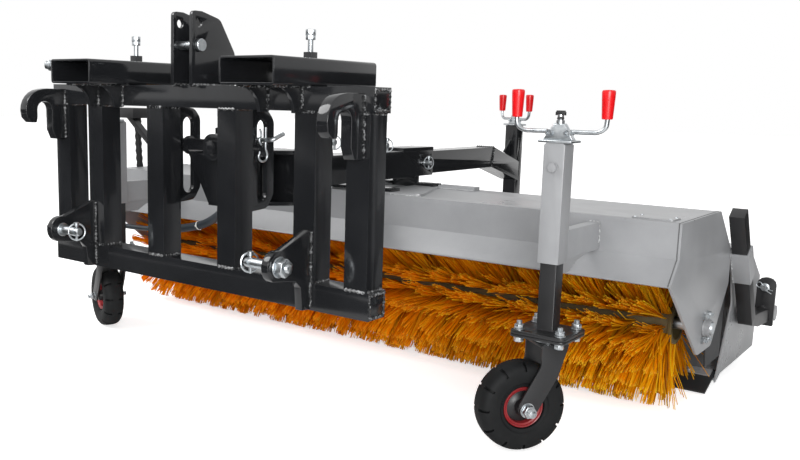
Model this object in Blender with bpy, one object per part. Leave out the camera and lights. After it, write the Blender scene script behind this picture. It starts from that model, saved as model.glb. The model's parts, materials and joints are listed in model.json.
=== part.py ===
# Carried sweeper: a coupling frame, a roller brush under a hood, a collecting box and three casters.
# Metres. X runs along the brush, +Y away from the carrying machine, +Z up, ground at Z = 0.
import math

import bmesh
import bpy
from mathutils import Vector

# Driving dimensions
HOOD_LENGTH = 2.490
HOOD_TOP = 0.640
HOOD_FRONT = -0.335
SHEET = 0.005
END_PLATE = 0.008

BRUSH_DIAMETER = 0.530
BRUSH_AXIS_HEIGHT = 0.272
BRUSH_CORE_DIAMETER = 0.120
BRUSH_SHAFT_DIAMETER = 0.040
STRIP_COUNT = 6
TUFTS_PER_STRIP = 54

FRAME_WIDTH = 1.356
FRAME_FRONT = -1.071
FRAME_DEPTH = 0.078
FRAME_BOTTOM = 0.393
FRAME_TOP = 1.003
RAIL_HEIGHT = 0.075
BEAM_HEIGHT = 0.066
UPRIGHT_WIDTH = 0.074
HOOK_OFFSET = FRAME_WIDTH / 2 - 0.046
UPRIGHT_OFFSETS = (0.156, 0.453, HOOK_OFFSET)

POCKET_SPACING = 0.750
POCKET_WIDTH = 0.197
POCKET_HEIGHT = 0.075
POCKET_WALL = 0.006
POCKET_FRONT = -1.221
POCKET_LENGTH = 0.450

MAST_GAP = 0.068
MAST_PLATE = 0.012
MAST_TOP = 1.218
TOP_LINK_HOLES = (MAST_TOP - 0.034, MAST_TOP - 0.098)
LINK_PIN_DIAMETER = 0.028
LINK_PIN_SPREAD = FRAME_WIDTH - 0.416
LINK_PIN_Y = -1.205
LINK_PIN_Z = 0.532
LINK_BRACKET_PLATE = 0.024
HOOK_WIDTH = 0.035
HOOK_PIN_DIAMETER = 0.056

ROLL_TUBE_Y = -0.938
ROLL_TUBE_Z = 0.815
ROLL_TUBE_DIAMETER = 0.044
GUIDES_X = (-0.152, 0.170)
SWIVEL_Y = -0.800
BEAM_X = 0.090
SLEEVE_SIZE = 0.100
SLEEVE_Z = 0.730
SLEEVE_BACK = 0.118
ARM_PIN_Y = 0.060
ARM_SIZE = 0.088

POST_OUTER = 0.060
POST_INNER = 0.048
POST_TOP = 0.866
POST_BOTTOM = 0.535
POST_Y = -0.635
POST_RIGHT_X = 0.990
POST_LEFT_X = -0.893
LEFT_CASTER_OFFSET = -0.040
REAR_POST_Y = 0.930

WHEEL_DIAMETER = 0.260
WHEEL_WIDTH = 0.082
RIM_DIAMETER = 0.118
CASTER_TRAIL = 0.075
CASTER_PLATE_TOP = 0.345
PLATE_HOLES = (0.120, 0.114)

BOX_END_CLEARANCE = 0.010
BOX_PIVOT = (0.765, 0.190)
CARRIER_TUBE = 0.048
CARRIER_TOP = (0.180, 0.628)
CARRIER_TILT = math.radians(33)
CARRIER_LENGTH = 0.491
CARRIER_SLEEVE = (0.160, 0.288)

HOSE_RADIUS = 0.011
GUARD_RADIUS = 0.016

GAP = 0.0003


# Scene and materials
for old in list(bpy.data.objects):
    bpy.data.objects.remove(old, do_unlink=True)

parts = bpy.data.collections.new("carried_sweeper")
cutters = bpy.data.collections.new("cutters")
bpy.context.scene.collection.children.link(parts)
bpy.context.scene.collection.children.link(cutters)


def linear(hex_colour):
    """sRGB hex colour as linear RGBA."""
    channels = [int(hex_colour[i:i + 2], 16) / 255 for i in (1, 3, 5)]
    return [c / 12.92 if c <= 0.04045 else ((c + 0.055) / 1.055) ** 2.4 for c in channels] + [1.0]


def material(name, hex_colour, roughness, metallic=0.0):
    made = bpy.data.materials.new(name)
    made.use_nodes = True
    shader = made.node_tree.nodes["Principled BSDF"]
    shader.inputs["Base Color"].default_value = linear(hex_colour)
    shader.inputs["Roughness"].default_value = roughness
    shader.inputs["Metallic"].default_value = metallic
    return made


PAINTS = {
    "grey": ("#9fa1a2", 0.40, 0.0),
    "black": ("#1c1c1d", 0.22, 0.0),
    "zinc": ("#c4c9cd", 0.30, 1.0),
    "rubber": ("#242526", 0.75, 0.0),
    "red": ("#b31a22", 0.40, 0.0),
    "bristle": ("#d98a0a", 0.60, 0.0),
    "bronze": ("#6e5f3a", 0.50, 0.4),
}


# Closed shells that a solid is put together from
def prism(bm, outline, axis, start, end):
    """Extrudes a 2D outline along X (outline in YZ), Y (in XZ) or Z (in XY)."""
    def place(p, w):
        return {"X": (w, p[0], p[1]), "Y": (p[0], w, p[1]), "Z": (p[0], p[1], w)}[axis]
    low = [bm.verts.new(place(p, start)) for p in outline]
    high = [bm.verts.new(place(p, end)) for p in outline]
    n = len(outline)
    faces = [bm.faces.new(low), bm.faces.new(high[::-1])]
    for i in range(n):
        j = (i + 1) % n
        faces.append(bm.faces.new((low[j], low[i], high[i], high[j])))
    bmesh.ops.recalc_face_normals(bm, faces=faces)


def box(bm, x, y, z):
    prism(bm, [(x[0], y[0]), (x[1], y[0]), (x[1], y[1]), (x[0], y[1])], "Z", z[0], z[1])


def circle(cx, cy, radius, sides=24, start=0.0, sweep=2 * math.pi):
    closed = abs(sweep - 2 * math.pi) < 1e-9
    count = sides if closed else sides + 1
    return [(cx + radius * math.cos(start + sweep * i / sides),
             cy + radius * math.sin(start + sweep * i / sides)) for i in range(count)]


def cylinder(bm, axis, centre, radius, start, end, sides=24):
    prism(bm, circle(*centre, radius, sides), axis, start, end)


def hexagon(bm, axis, centre, across_flats, start, end):
    prism(bm, circle(*centre, across_flats / math.sqrt(3), 6), axis, start, end)


def rounded(points, radii, steps=4):
    """Rounds the corners of a closed outline; a radius of 0 keeps the corner."""
    out = []
    n = len(points)
    for i, p in enumerate(points):
        r = radii[i] if isinstance(radii, (list, tuple)) else radii
        if not r:
            out.append(p)
            continue
        c = Vector(p)
        a = (Vector(points[i - 1]) - c).normalized()
        b = (Vector(points[(i + 1) % n]) - c).normalized()
        half = a.angle(b) / 2
        reach = r / math.tan(half)
        centre = c + (a + b).normalized() * (r / math.sin(half))
        first = c + a * reach - centre
        last = c + b * reach - centre
        turn = first.angle_signed(last)
        for k in range(steps + 1):
            angle = -turn * k / steps
            cs, sn = math.cos(angle), math.sin(angle)
            out.append((centre.x + first.x * cs - first.y * sn, centre.y + first.x * sn + first.y * cs))
    return out


def sheet(line, thickness):
    """Outline of a folded sheet: the line is its outer side, the thickness lies to its right."""
    inner = []
    for i, p in enumerate(line):
        p = Vector(p)
        normals = []
        if i > 0:
            d = (p - Vector(line[i - 1])).normalized()
            normals.append(Vector((d.y, -d.x)))
        if i < len(line) - 1:
            d = (Vector(line[i + 1]) - p).normalized()
            normals.append(Vector((d.y, -d.x)))
        mean = sum(normals, Vector((0, 0))).normalized()
        inner.append(tuple(p + mean * thickness / mean.dot(normals[0])))
    return list(line) + inner[::-1]


def rod(bm, path, radius, sides=6):
    """Round bar along a bent path, mitred at its bends, flat at both ends."""
    path = [Vector(p) for p in path]
    rings = []
    first = (path[1] - path[0]).normalized()
    side = first.orthogonal().normalized()
    for i, p in enumerate(path):
        before = (p - path[i - 1]).normalized() if i else first
        after = (path[i + 1] - p).normalized() if i < len(path) - 1 else before
        plane = (before + after).normalized()
        side = (side - before * side.dot(before)).normalized()
        other = before.cross(side)
        ring = []
        for k in range(sides):
            a = 2 * math.pi * k / sides
            offset = (side * math.cos(a) + other * math.sin(a)) * radius
            shift = offset.dot(plane) / before.dot(plane)
            ring.append(bm.verts.new(p + offset - before * shift))
        rings.append(ring)
    faces = [bm.faces.new(rings[0][::-1]), bm.faces.new(rings[-1])]
    for a, b in zip(rings, rings[1:]):
        for k in range(sides):
            j = (k + 1) % sides
            faces.append(bm.faces.new((a[k], a[j], b[j], b[k])))
    bmesh.ops.recalc_face_normals(bm, faces=faces)


def lathe(bm, profile, centre, axis="X", sides=32):
    """Turns a closed profile of (distance along the axis, radius) points about the axis."""
    rings = []
    for k in range(sides):
        a = 2 * math.pi * k / sides
        ring = []
        for along, r in profile:
            p = (along, r * math.cos(a), r * math.sin(a)) if axis == "X" else \
                (r * math.cos(a), r * math.sin(a), along)
            ring.append(bm.verts.new(Vector(centre) + Vector(p)))
        rings.append(ring)
    faces = []
    n = len(profile)
    for k in range(sides):
        a, b = rings[k], rings[(k + 1) % sides]
        for i in range(n):
            j = (i + 1) % n
            faces.append(bm.faces.new((a[i], a[j], b[j], b[i])))
    bmesh.ops.recalc_face_normals(bm, faces=faces)


def bolt(bm, axis, centre, low, high, size=0.010, head_on_high=True, washer=0.002):
    """Bolt with a hexagon head and washer at one end of its shank, all in one shell chain."""
    end, way = (high, 1) if head_on_high else (low, -1)
    cylinder(bm, axis, centre, size / 2, low - (0 if head_on_high else 0.001),
             high + (0.001 if head_on_high else 0), 8)
    cylinder(bm, axis, centre, size * 1.05, min(end, end + way * washer), max(end, end + way * washer), 10)
    a, b = end + way * washer * 0.5, end + way * (washer + size * 0.65)
    hexagon(bm, axis, centre, size * 1.65, min(a, b), max(a, b))


# Objects
def helper(name, build, location, rotation):
    mesh = bpy.data.meshes.new(name)
    bm = bmesh.new()
    for make in build:
        make(bm)
    bm.to_mesh(mesh)
    bm.free()
    made = bpy.data.objects.new(name, mesh)
    made.location = location
    made.rotation_euler = rotation
    return made


def part(name, paint, base, adds=(), cuts=(), origin=(0, 0, 0), turn=(0, 0, 0), local=False, late=()):
    """One closed solid: a base shell, shells welded to it, holes, then shells welded on after the holes."""
    def shifted(build):
        def make(bm):
            own = bmesh.new()
            build(own)
            if not local:
                bmesh.ops.translate(own, verts=own.verts, vec=-Vector(origin))
            passing = bpy.data.meshes.new("passing")
            own.to_mesh(passing)
            own.free()
            bm.from_mesh(passing)
            bpy.data.meshes.remove(passing)
        return make
    made = helper(name, [shifted(base)], origin, turn)
    parts.objects.link(made)
    made.data.materials.append(material(name + "_paint", *PAINTS[paint]))
    for kind, builds, tag in (("UNION", adds, "_weld"), ("DIFFERENCE", cuts, "_cut"), ("UNION", late, "_late")):
        if not builds:
            continue
        other = helper(name + tag, [shifted(b) for b in builds], origin, turn)
        cutters.objects.link(other)
        other.hide_render = True
        other.display_type = "WIRE"
        step = made.modifiers.new(tag[1:], "BOOLEAN")
        step.operation = kind
        step.solver = "EXACT"
        step.use_self = True
        step.object = other
    return made


# Hood
HALF = HOOD_LENGTH / 2
HOOD_LINE = [(-0.400, 0.464), (HOOD_FRONT, 0.534), (HOOD_FRONT, HOOD_TOP), (0.075, HOOD_TOP),
             (0.2540, 0.490), (0.2540, 0.376)]
END_OUTLINE = [(-0.400, 0.464), (HOOD_FRONT, 0.534), (HOOD_FRONT, HOOD_TOP), (0.080, HOOD_TOP),
               (0.2540, 0.492), (0.2545, 0.376), (0.0915, 0.192), (-0.064, 0.192)]
SLEEVE_X = HALF + 0.0285


def along_carrier(half, start, end):
    """Outline in YZ of a tube along the tilted line of the box carriers, measured from the tube's upper end."""
    y, z = CARRIER_TOP
    s, c = math.sin(CARRIER_TILT), math.cos(CARRIER_TILT)
    return [(y + s * d + c * w, z - c * d + s * w) for d, w in ((start, -half), (end, -half), (end, half),
                                                                (start, half))]


def hood():
    centre = (0, BRUSH_AXIS_HEIGHT)
    ends = []
    for s in (-1, 1):
        a, b = sorted((s * (HALF - END_PLATE), s * HALF))
        ends.append(lambda bm, a=a, b=b: prism(bm, rounded(END_OUTLINE, (0.006, 0, 0.006, 0.006, 0.006,
                                                                         0.006, 0.03, 0.03)),
                                               "X", a, b))
        c = s * SLEEVE_X
        ends.append(lambda bm, c=c: prism(bm, along_carrier(0.0300, *CARRIER_SLEEVE), "X", c - 0.0300,
                                          c + 0.0300))
        x = POST_RIGHT_X if s > 0 else POST_LEFT_X
        y = POST_Y + POST_OUTER / 2 + GAP
        stub = [(y, 0.620), (y, 0.497), (y + 0.070, 0.497), (y + 0.115, 0.522), (y + 0.200, 0.537),
                (HOOD_FRONT + 0.002, 0.5375),
                (HOOD_FRONT + 0.002, 0.620)]
        ends.append(lambda bm, x=x, stub=stub: prism(bm, rounded(stub, (0, 0.008, 0.01, 0.05, 0.05, 0, 0),
                                                                 2), "X", x + 0.002, x + 0.010))
        ends.append(lambda bm, x=x, y=y: box(bm, (x - 0.016, x + 0.016), (y, HOOD_FRONT + 0.002), (0.538, 0.6205)))
    pad = [(BEAM_X + 0.060, -0.330), (BEAM_X + 0.120, -0.330), (BEAM_X + 0.270, -0.310), (BEAM_X + 0.140, 0.025), (BEAM_X + 0.060, 0.025)]
    for outline, high in ((rounded(pad, (0.01, 0, 0.03, 0.01, 0.01), 2), 0.008),
                          ([(BEAM_X + 0.148, 0.000), (BEAM_X + 0.300, 0.008), (BEAM_X + 0.300, 0.050),
                            (BEAM_X + 0.148, 0.042)], 0.014),
                          (rounded([(BEAM_X - 0.140, -0.300), (BEAM_X - 0.060, -0.300), (BEAM_X - 0.060, 0.040), (BEAM_X - 0.140, 0.040)], 0.01, 2), 0.008),
                          (rounded([(1.088, -0.310), (1.212, -0.310), (1.212, -0.234), (1.088, -0.234)],
                                   0.008, 2), 0.004)):
        ends.append(lambda bm, outline=outline, high=high: prism(bm, outline, "Z", HOOD_TOP - 0.002,
                                                                 HOOD_TOP + high))
    holes = [lambda bm, s=s: cylinder(bm, "X", centre, 0.034, s * HALF - 0.02, s * HALF + 0.02, 24)
             for s in (-1, 1)]
    for s in (-1, 1):
        c = s * SLEEVE_X
        half = CARRIER_TUBE / 2 + GAP
        low, high = CARRIER_SLEEVE
        holes.append(lambda bm, c=c, half=half: prism(bm, along_carrier(half, low - 0.02, high + 0.02), "X",
                                                      c - half, c + half))
    part("hood", "grey", lambda bm: prism(bm, sheet(HOOD_LINE, SHEET), "X", -HALF + 0.003, HALF - 0.003),
         ends, holes)


# Support posts, height screws and casters
def post_sleeve(name, x):
    half, wall = POST_OUTER / 2, POST_INNER / 2 + GAP
    chamfer = rounded([(-half, POST_BOTTOM), (half, POST_BOTTOM), (half, POST_TOP), (-half, POST_TOP)], (0, 0, 0.006, 0.006), 1)
    y = POST_Y
    part(name, "grey", lambda bm: prism(bm, [(x + a, z) for a, z in chamfer], "Y", y - half, y + half),
         [lambda bm: bolt(bm, "Y", (x, 0.800), y - half - 0.001, y - half + 0.001, 0.014, False)],
         [lambda bm: box(bm, (x - wall, x + wall), (y - wall, y + wall), (POST_BOTTOM - 0.01,
                                                                          POST_TOP + 0.01))],
         origin=(x, y, 0.65))


def plate_corners(x, y):
    a, b = PLATE_HOLES[0] / 2 + 0.022, PLATE_HOLES[1] / 2 + 0.022
    return rounded([(x - a, y - b), (x + a, y - b), (x + a, y + b), (x - a, y + b)], 0.018, 3)


def post_inner(name, x, y, top, offset=0.0):
    """Square tube with the plate at its foot; the offset moves the plate along X, away from the tube's middle."""
    half = POST_INNER / 2
    inside = half - 0.004
    plate = CASTER_PLATE_TOP - 0.010
    a, b = PLATE_HOLES[0] / 2, PLATE_HOLES[1] / 2
    holes = [lambda bm, sx=sx, sy=sy: cylinder(bm, "Z", (x + offset + sx * a, y + sy * b), 0.0063,
                                               plate - 0.01,
                                               CASTER_PLATE_TOP + 0.01, 12)
             for sx in (-1, 1) for sy in (-1, 1)]
    holes.append(lambda bm: box(bm, (x - inside, x + inside), (y - inside, y + inside),
                                (CASTER_PLATE_TOP + 0.01, top + 0.01)))
    part(name, "black", lambda bm: prism(bm, plate_corners(x + offset, y), "Z", plate, CASTER_PLATE_TOP),
         [lambda bm: box(bm, (x - half, x + half), (y - half, y + half), (CASTER_PLATE_TOP - 0.004, top))],
         holes, origin=(x, y, plate))


def caster_plate(name, x, y):
    top = CASTER_PLATE_TOP - 0.010 - GAP
    a, b = PLATE_HOLES[0] / 2, PLATE_HOLES[1] / 2
    adds = [lambda bm, sx=sx, sy=sy: bolt(bm, "Z", (x + sx * a, y + sy * b), top - 0.005,
                                          CASTER_PLATE_TOP + GAP, 0.012)
            for sx in (-1, 1) for sy in (-1, 1)]
    adds.append(lambda bm: cylinder(bm, "Z", (x, y), 0.040, top - 0.022, top - 0.004, 20))
    adds.append(lambda bm: cylinder(bm, "Z", (x, y), 0.010, top - 0.042, top - 0.018, 12))
    adds.append(lambda bm: hexagon(bm, "Z", (x, y), 0.027, top - 0.050, top - 0.041))
    part(name, "zinc", lambda bm: prism(bm, plate_corners(x, y), "Z", top - 0.008, top), adds, origin=(x, y, top))


def caster_fork(name, x, y, heading):
    """Fork in local axes: the wheel trails along local -Y, its axle runs along local X."""
    axle_z = WHEEL_DIAMETER / 2
    crown = CASTER_PLATE_TOP - 0.010 - GAP - 0.0225
    gap = WHEEL_WIDTH / 2 + 0.006
    leg = rounded([(-0.040, crown), (0.040, crown), (0.012, crown - 0.090), (-CASTER_TRAIL + 0.026,
                                                                             axle_z - 0.014),
                   (-CASTER_TRAIL - 0.014, axle_z - 0.026), (-CASTER_TRAIL - 0.026,
                                                             axle_z + 0.014), (-0.040, crown - 0.060)],
                  (0, 0, 0.02, 0.012, 0.018, 0.012, 0.02), 2)
    adds = [lambda bm, s=s: prism(bm, leg, "X", *sorted((s * gap, s * (gap + 0.006)))) for s in (-1, 1)]
    adds.append(lambda bm: cylinder(bm, "X", (-CASTER_TRAIL, axle_z), 0.0075, -gap - 0.016, gap + 0.016, 12))
    adds += [lambda bm, s=s: hexagon(bm, "X", (-CASTER_TRAIL, axle_z), 0.024, *sorted((s * (gap + 0.005), s * (gap + 0.018)))) for s in (-1, 1)]
    adds.append(lambda bm: cylinder(bm, "Z", (0, 0), 0.042, crown - 0.004, crown, 20))
    crown_outline = rounded([(-gap - 0.006, -0.040), (gap + 0.006, -0.040), (gap + 0.006, 0.040),
                             (-gap - 0.006, 0.040)], 0.01, 2)
    part(name, "black", lambda bm: prism(bm, crown_outline, "Z", crown - 0.008, crown - 0.001), adds,
         [lambda bm: cylinder(bm, "Z", (0, 0), 0.0104, crown - 0.02, crown + 0.01, 12)],
         origin=(x, y, 0), turn=(0, 0, heading), local=True)


def wheel_centre(x, y, heading):
    return (x + CASTER_TRAIL * math.sin(heading), y - CASTER_TRAIL * math.cos(heading), WHEEL_DIAMETER / 2)


def tyre(name, x, y, heading):
    r, w, rim = WHEEL_DIAMETER / 2, WHEEL_WIDTH / 2, RIM_DIAMETER / 2
    profile = [(-w * 0.62, rim + GAP), (-w, rim + 0.026), (-w * 0.93, r - 0.020), (-w * 0.60, r - 0.002),
               (w * 0.60, r - 0.002), (w * 0.93, r - 0.020), (w, rim + 0.026), (w * 0.62, rim + GAP)]
    part(name, "rubber", lambda bm: lathe(bm, profile, (0, 0, 0), "X", 24),
         origin=wheel_centre(x, y, heading), turn=(0, 0, heading), local=True)


def rim(name, x, y, heading):
    r, w = RIM_DIAMETER / 2, WHEEL_WIDTH / 2
    profile = [(-w * 0.68, r), (-0.010, r - 0.012), (-0.010, 0.024), (-w * 0.95, 0.022), (-w * 0.95, 0.0079),
               (w * 0.95, 0.0079), (w * 0.95, 0.022), (0.010, 0.024), (0.010, r - 0.012), (w * 0.68, r)]
    part(name, "red", lambda bm: lathe(bm, profile, (0, 0, 0), "X", 24),
         origin=wheel_centre(x, y, heading), turn=(0, 0, heading), local=True)


def crank(name, x, y, turn):
    """Height screw with its two-armed crank, grips and locking knob, in local axes; arms along local X."""
    plate = POST_TOP + GAP
    arm, r = 0.128, 0.0065
    adds = [lambda bm: cylinder(bm, "Z", (0, 0), 0.026, plate + 0.007, plate + 0.020, 14),
            lambda bm: box(bm, (-0.045, 0.045), (-0.016, 0.016), (plate + 0.018, plate + 0.045)),
            lambda bm: cylinder(bm, "Z", (0, 0), 0.009, plate + 0.040, plate + 0.078, 8),
            lambda bm: box(bm, (-0.018, 0.018), (-0.007, 0.007), (plate + 0.072, plate + 0.088)),
            lambda bm: cylinder(bm, "Z", (0, 0), 0.010, plate - 0.330, plate + 0.004, 10)]
    for s in (-1, 1):
        low, high = plate + 0.030, plate + 0.052
        path = [(s * 0.040, 0, low), (s * (arm - 0.030), 0, low), (s * (arm - 0.008), 0, low + 0.010),
                (s * arm, 0, high), (s * arm, 0, high + 0.095)]
        adds.append(lambda bm, path=path: rod(bm, path, r))
        adds.append(lambda bm, s=s, high=high: cylinder(bm, "Z", (s * arm, 0), 0.0165, high + 0.008,
                                                        high + 0.090, 12))
    outline = rounded([(-0.048, -0.034), (0.048, -0.034), (0.048, 0.034), (-0.048, 0.034)], 0.008, 2)
    part(name, "zinc", lambda bm: prism(bm, outline, "Z", plate, plate + 0.008), adds,
         origin=(x, y, 0), turn=(0, 0, turn), local=True)


# Brush
CORE_HALF = HOOD_LENGTH / 2 - 0.045


def brush_core():
    centre = (0, BRUSH_AXIS_HEIGHT)
    r = BRUSH_CORE_DIAMETER / 2
    adds = [lambda bm, s=s: cylinder(bm, "X", centre, r + 0.010, *sorted((s * (CORE_HALF - 0.004),
                                                                          s * (CORE_HALF + 0.004))), 32)
            for s in (-1, 1)]
    adds.append(lambda bm: cylinder(bm, "X", centre, BRUSH_SHAFT_DIAMETER / 2, -HALF - 0.030, HALF + 0.030,
                                    24))
    part("brush_core", "bronze", lambda bm: cylinder(bm, "X", centre, r, -CORE_HALF, CORE_HALF, 32), adds,
         origin=(0, 0, BRUSH_AXIS_HEIGHT))


def bristle_strip(index):
    """A flat holding bar with tufts that fan out around the brush, built in local axes with +Z outwards."""
    low = BRUSH_CORE_DIAMETER / 2 + GAP
    high = low + 0.010
    count = TUFTS_PER_STRIP
    length, half = 2 * CORE_HALF - 0.100, 0.016
    spread = math.pi / STRIP_COUNT
    bm = bmesh.new()
    xs = [-length / 2 + length * i / count for i in range(count + 1)]
    ends = (xs[0], xs[-1])
    corner = [[bm.verts.new((x, y, z)) for x in (ends if z == low else xs)]
              for y, z in ((-half, low), (half, low), (half, high), (-half, high))]
    bm.faces.new(corner[0] + corner[1][::-1])
    bm.faces.new(corner[1] + corner[2][::-1])
    bm.faces.new(corner[3] + corner[0][::-1])
    bm.faces.new([corner[k][0] for k in range(4)])
    bm.faces.new([corner[k][-1] for k in (3, 2, 1, 0)])
    reach = BRUSH_DIAMETER / 2
    for i in range(count):
        a, b, c, d = corner[3][i], corner[3][i + 1], corner[2][i + 1], corner[2][i]
        mid = (xs[i] + xs[i + 1]) / 2
        angle = ((i * 3) % 5 - 2) / 2 * spread * 0.80
        lean = {0: -0.030, 1: -0.012, count - 2: 0.012, count - 1: 0.030}.get(i, 0.0)
        tilt = Vector((0, math.sin(angle), math.cos(angle)))
        across = Vector((0, math.cos(angle), -math.sin(angle)))
        root = [bm.verts.new((mid + u * 0.012, v * 0.012, high)) for u, v in ((-1, -0.8), (1, -0.8), (0, 1))]
        tip_mid = Vector((mid + lean, 0, 0)) + tilt * (reach - 0.002)
        tip = [bm.verts.new(tip_mid + Vector((u * 0.015, 0, 0)) + across * v * 0.018) for u, v in ((-1, -0.8), (1, -0.8), (0, 1))]
        bm.faces.new((a, b, root[1], root[0]))
        bm.faces.new((b, c, root[2], root[1]))
        bm.faces.new((c, d, root[2]))
        bm.faces.new((d, a, root[0], root[2]))
        for k in range(3):
            j = (k + 1) % 3
            bm.faces.new((root[k], root[j], tip[j], tip[k]))
        bm.faces.new(tip)
    bmesh.ops.recalc_face_normals(bm, faces=bm.faces)
    name = "bristle_strip_%d" % index
    mesh = bpy.data.meshes.new(name)
    bm.to_mesh(mesh)
    bm.free()
    made = bpy.data.objects.new(name, mesh)
    made.location = (0, 0, BRUSH_AXIS_HEIGHT)
    made.rotation_euler = (2 * math.pi * (index - 1) / STRIP_COUNT, 0, 0)
    mesh.materials.append(material(name + "_paint", *PAINTS["bristle"]))
    parts.objects.link(made)


def bearing(name, side, motor):
    """Flanged bearing on the outer side of an end plate; the left one also carries the hydraulic motor."""
    centre = (0, BRUSH_AXIS_HEIGHT)
    inner = HALF + GAP
    square = rounded([(-0.052, centre[1]), (0, centre[1] - 0.052), (0.052, centre[1]), (0, centre[1] + 0.052)], 0.012, 3)
    adds = [lambda bm: cylinder(bm, "X", centre, 0.036, side * (inner + 0.004), side * (inner + 0.034), 24)]
    for y, z in ((-0.036, 0), (0.036, 0), (0, -0.036), (0, 0.036)):
        adds.append(lambda bm, y=y, z=z: hexagon(bm, "X", (y, centre[1] + z), 0.014, side * (inner + 0.009),
                                                 side * (inner + 0.017)))
    if motor:
        adds.append(lambda bm: cylinder(bm, "X", centre, 0.044, side * (inner + 0.031),
                                        side * (inner + 0.120), 24))
        for y in (-0.024, 0.024):
            adds.append(lambda bm, y=y: cylinder(bm, "Z", (side * (inner + 0.095), y), 0.012,
                                                 centre[1] + 0.020, centre[1] + 0.066, 12))
    hole = [lambda bm: cylinder(bm, "X", centre, BRUSH_SHAFT_DIAMETER / 2 + GAP, side * (inner - 0.01),
                                side * (inner + 0.0305), 24)]
    part(name, "black" if motor else "grey", lambda bm: prism(bm, square, "X", side * inner,
                                                              side * (inner + 0.010)), adds, hole,
         origin=(side * inner, 0, BRUSH_AXIS_HEIGHT))


# Collecting box behind the brush
BOX_HALF = HALF - BOX_END_CLEARANCE
BOX_LINE = [(0.333, 0.489), (0.566, 0.470), (0.788, 0.322), (0.768, 0.050), (0.300, 0.050), (0.245, 0.030)]
BOX_END = [(0.330, 0.492), (0.568, 0.473), (0.791, 0.324), (0.772, 0.046), (0.301, 0.046), (0.242, 0.0245),
           (0.385, 0.285), (0.336, 0.400)]
LIP_ANGLE = math.atan2(0.020, 0.055)


def collecting_box():
    adds = []
    for s in (-1, 1):
        a, b = sorted((s * (BOX_HALF - 0.006), s * BOX_HALF))
        adds.append(lambda bm, a=a, b=b: prism(bm, rounded(BOX_END, (0.004, 0.006, 0.006, 0.006, 0, 0, 0.03,
                                                                     0.03), 2), "X", a, b))
        c, d = sorted((s * (BOX_HALF - 0.002), s * (SLEEVE_X - 0.0065)))
        adds.append(lambda bm, c=c, d=d: cylinder(bm, "X", BOX_PIVOT, 0.026, c, d, 20))
    part("collecting_box", "grey", lambda bm: prism(bm, sheet(BOX_LINE, 0.004), "X", -BOX_HALF + 0.002,
                                                    BOX_HALF - 0.002), adds,
         [lambda bm, s=s: cylinder(bm, "X", BOX_PIVOT, 0.0103, *sorted((s * (BOX_HALF - 0.03),
                                                                        s * (SLEEVE_X + 0.01))), 16) for s in (-1, 1)],
         origin=(0, *BOX_PIVOT))


def rubber_lip():
    """Rubber lip on the sloping front edge of the collecting box, in local axes with +Y up the slope."""
    low = 0.004 + GAP
    part("rubber_lip", "rubber", lambda bm: box(bm, (-BOX_HALF + 0.010, BOX_HALF - 0.010), (-0.090, 0.048),
                                                (low, low + 0.008)),
         origin=(0, *BOX_LINE[-1]), turn=(LIP_ANGLE, 0, 0), local=True)


def lip_strip():
    low = 0.012 + 2 * GAP
    pitch = (BOX_HALF - 0.095) / 4
    heads = [lambda bm, x=pitch * i: hexagon(bm, "Z", (x, 0.020), 0.017, low + 0.004, low + 0.012)
             for i in range(-4, 5)]
    part("lip_strip", "grey", lambda bm: box(bm, (-BOX_HALF + 0.020, BOX_HALF - 0.020), (0.002, 0.040),
                                             (low, low + 0.005)), heads,
         origin=(0, *BOX_LINE[-1]), turn=(LIP_ANGLE, 0, 0), local=True)


def side_curtain(name, side):
    x = HALF - END_PLATE - GAP
    outline = [(0.060, 0.206), (0.080, 0.120), (0.250, 0.120), (0.262, 0.372), (0.200, 0.372), (0.130, 0.280)]
    part(name, "rubber", lambda bm: prism(bm, outline, "X", *sorted((side * x, side * (x - 0.005)))),
         origin=(side * x, 0.15, 0.30))


def box_carrier(name, side):
    """Height-adjustable tilted tube with a rearward arm; the pin at its end is the pivot of the collecting box."""
    x = side * SLEEVE_X
    half = CARRIER_TUBE / 2
    low = along_carrier(half, 0, CARRIER_LENGTH)[1:3]
    arm = [(low[0][0] - 0.004, low[0][1] + 0.006), (0.520, 0.182), (0.724, 0.166), (0.724, 0.214), (0.520, 0.232), (low[1][0] - 0.004, low[1][1] + 0.006)]
    cheek = rounded([(0.690, 0.150), (0.770, 0.150), (0.805, 0.190), (0.770, 0.232), (0.690, 0.232)], (0.01, 0.03, 0.036, 0.03, 0.01), 3)
    a, b = sorted((x - side * 0.028, x + side * 0.038))
    bracket = [(a, 0.150), (b, 0.150), (b, 0.335), (a, 0.335)]
    bracket = rounded(bracket, (0.004, 0.004, 0.028, 0.028), 3)
    pin = sorted((side * (BOX_HALF - 0.014), x + side * 0.020))
    head = sorted((x + side * 0.0055, x + side * 0.034))
    adds = [lambda bm: prism(bm, arm, "X", x - half, x + half),
            lambda bm: prism(bm, cheek, "X", x - 0.006, x + 0.006),
            lambda bm: prism(bm, bracket, "Y", 0.700, 0.712),
            lambda bm: cylinder(bm, "Y", (x, 0.297), 0.010, 0.680, 0.732, 12),
            lambda bm: cylinder(bm, "X", BOX_PIVOT, 0.010, *pin, 16),
            lambda bm: cylinder(bm, "X", BOX_PIVOT, 0.030, *head, 20)]
    part(name, "black", lambda bm: prism(bm, along_carrier(half, 0, CARRIER_LENGTH), "X", x - half,
                                         x + half), adds,
         origin=(x, CARRIER_TOP[0], CARRIER_TOP[1]))


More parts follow.
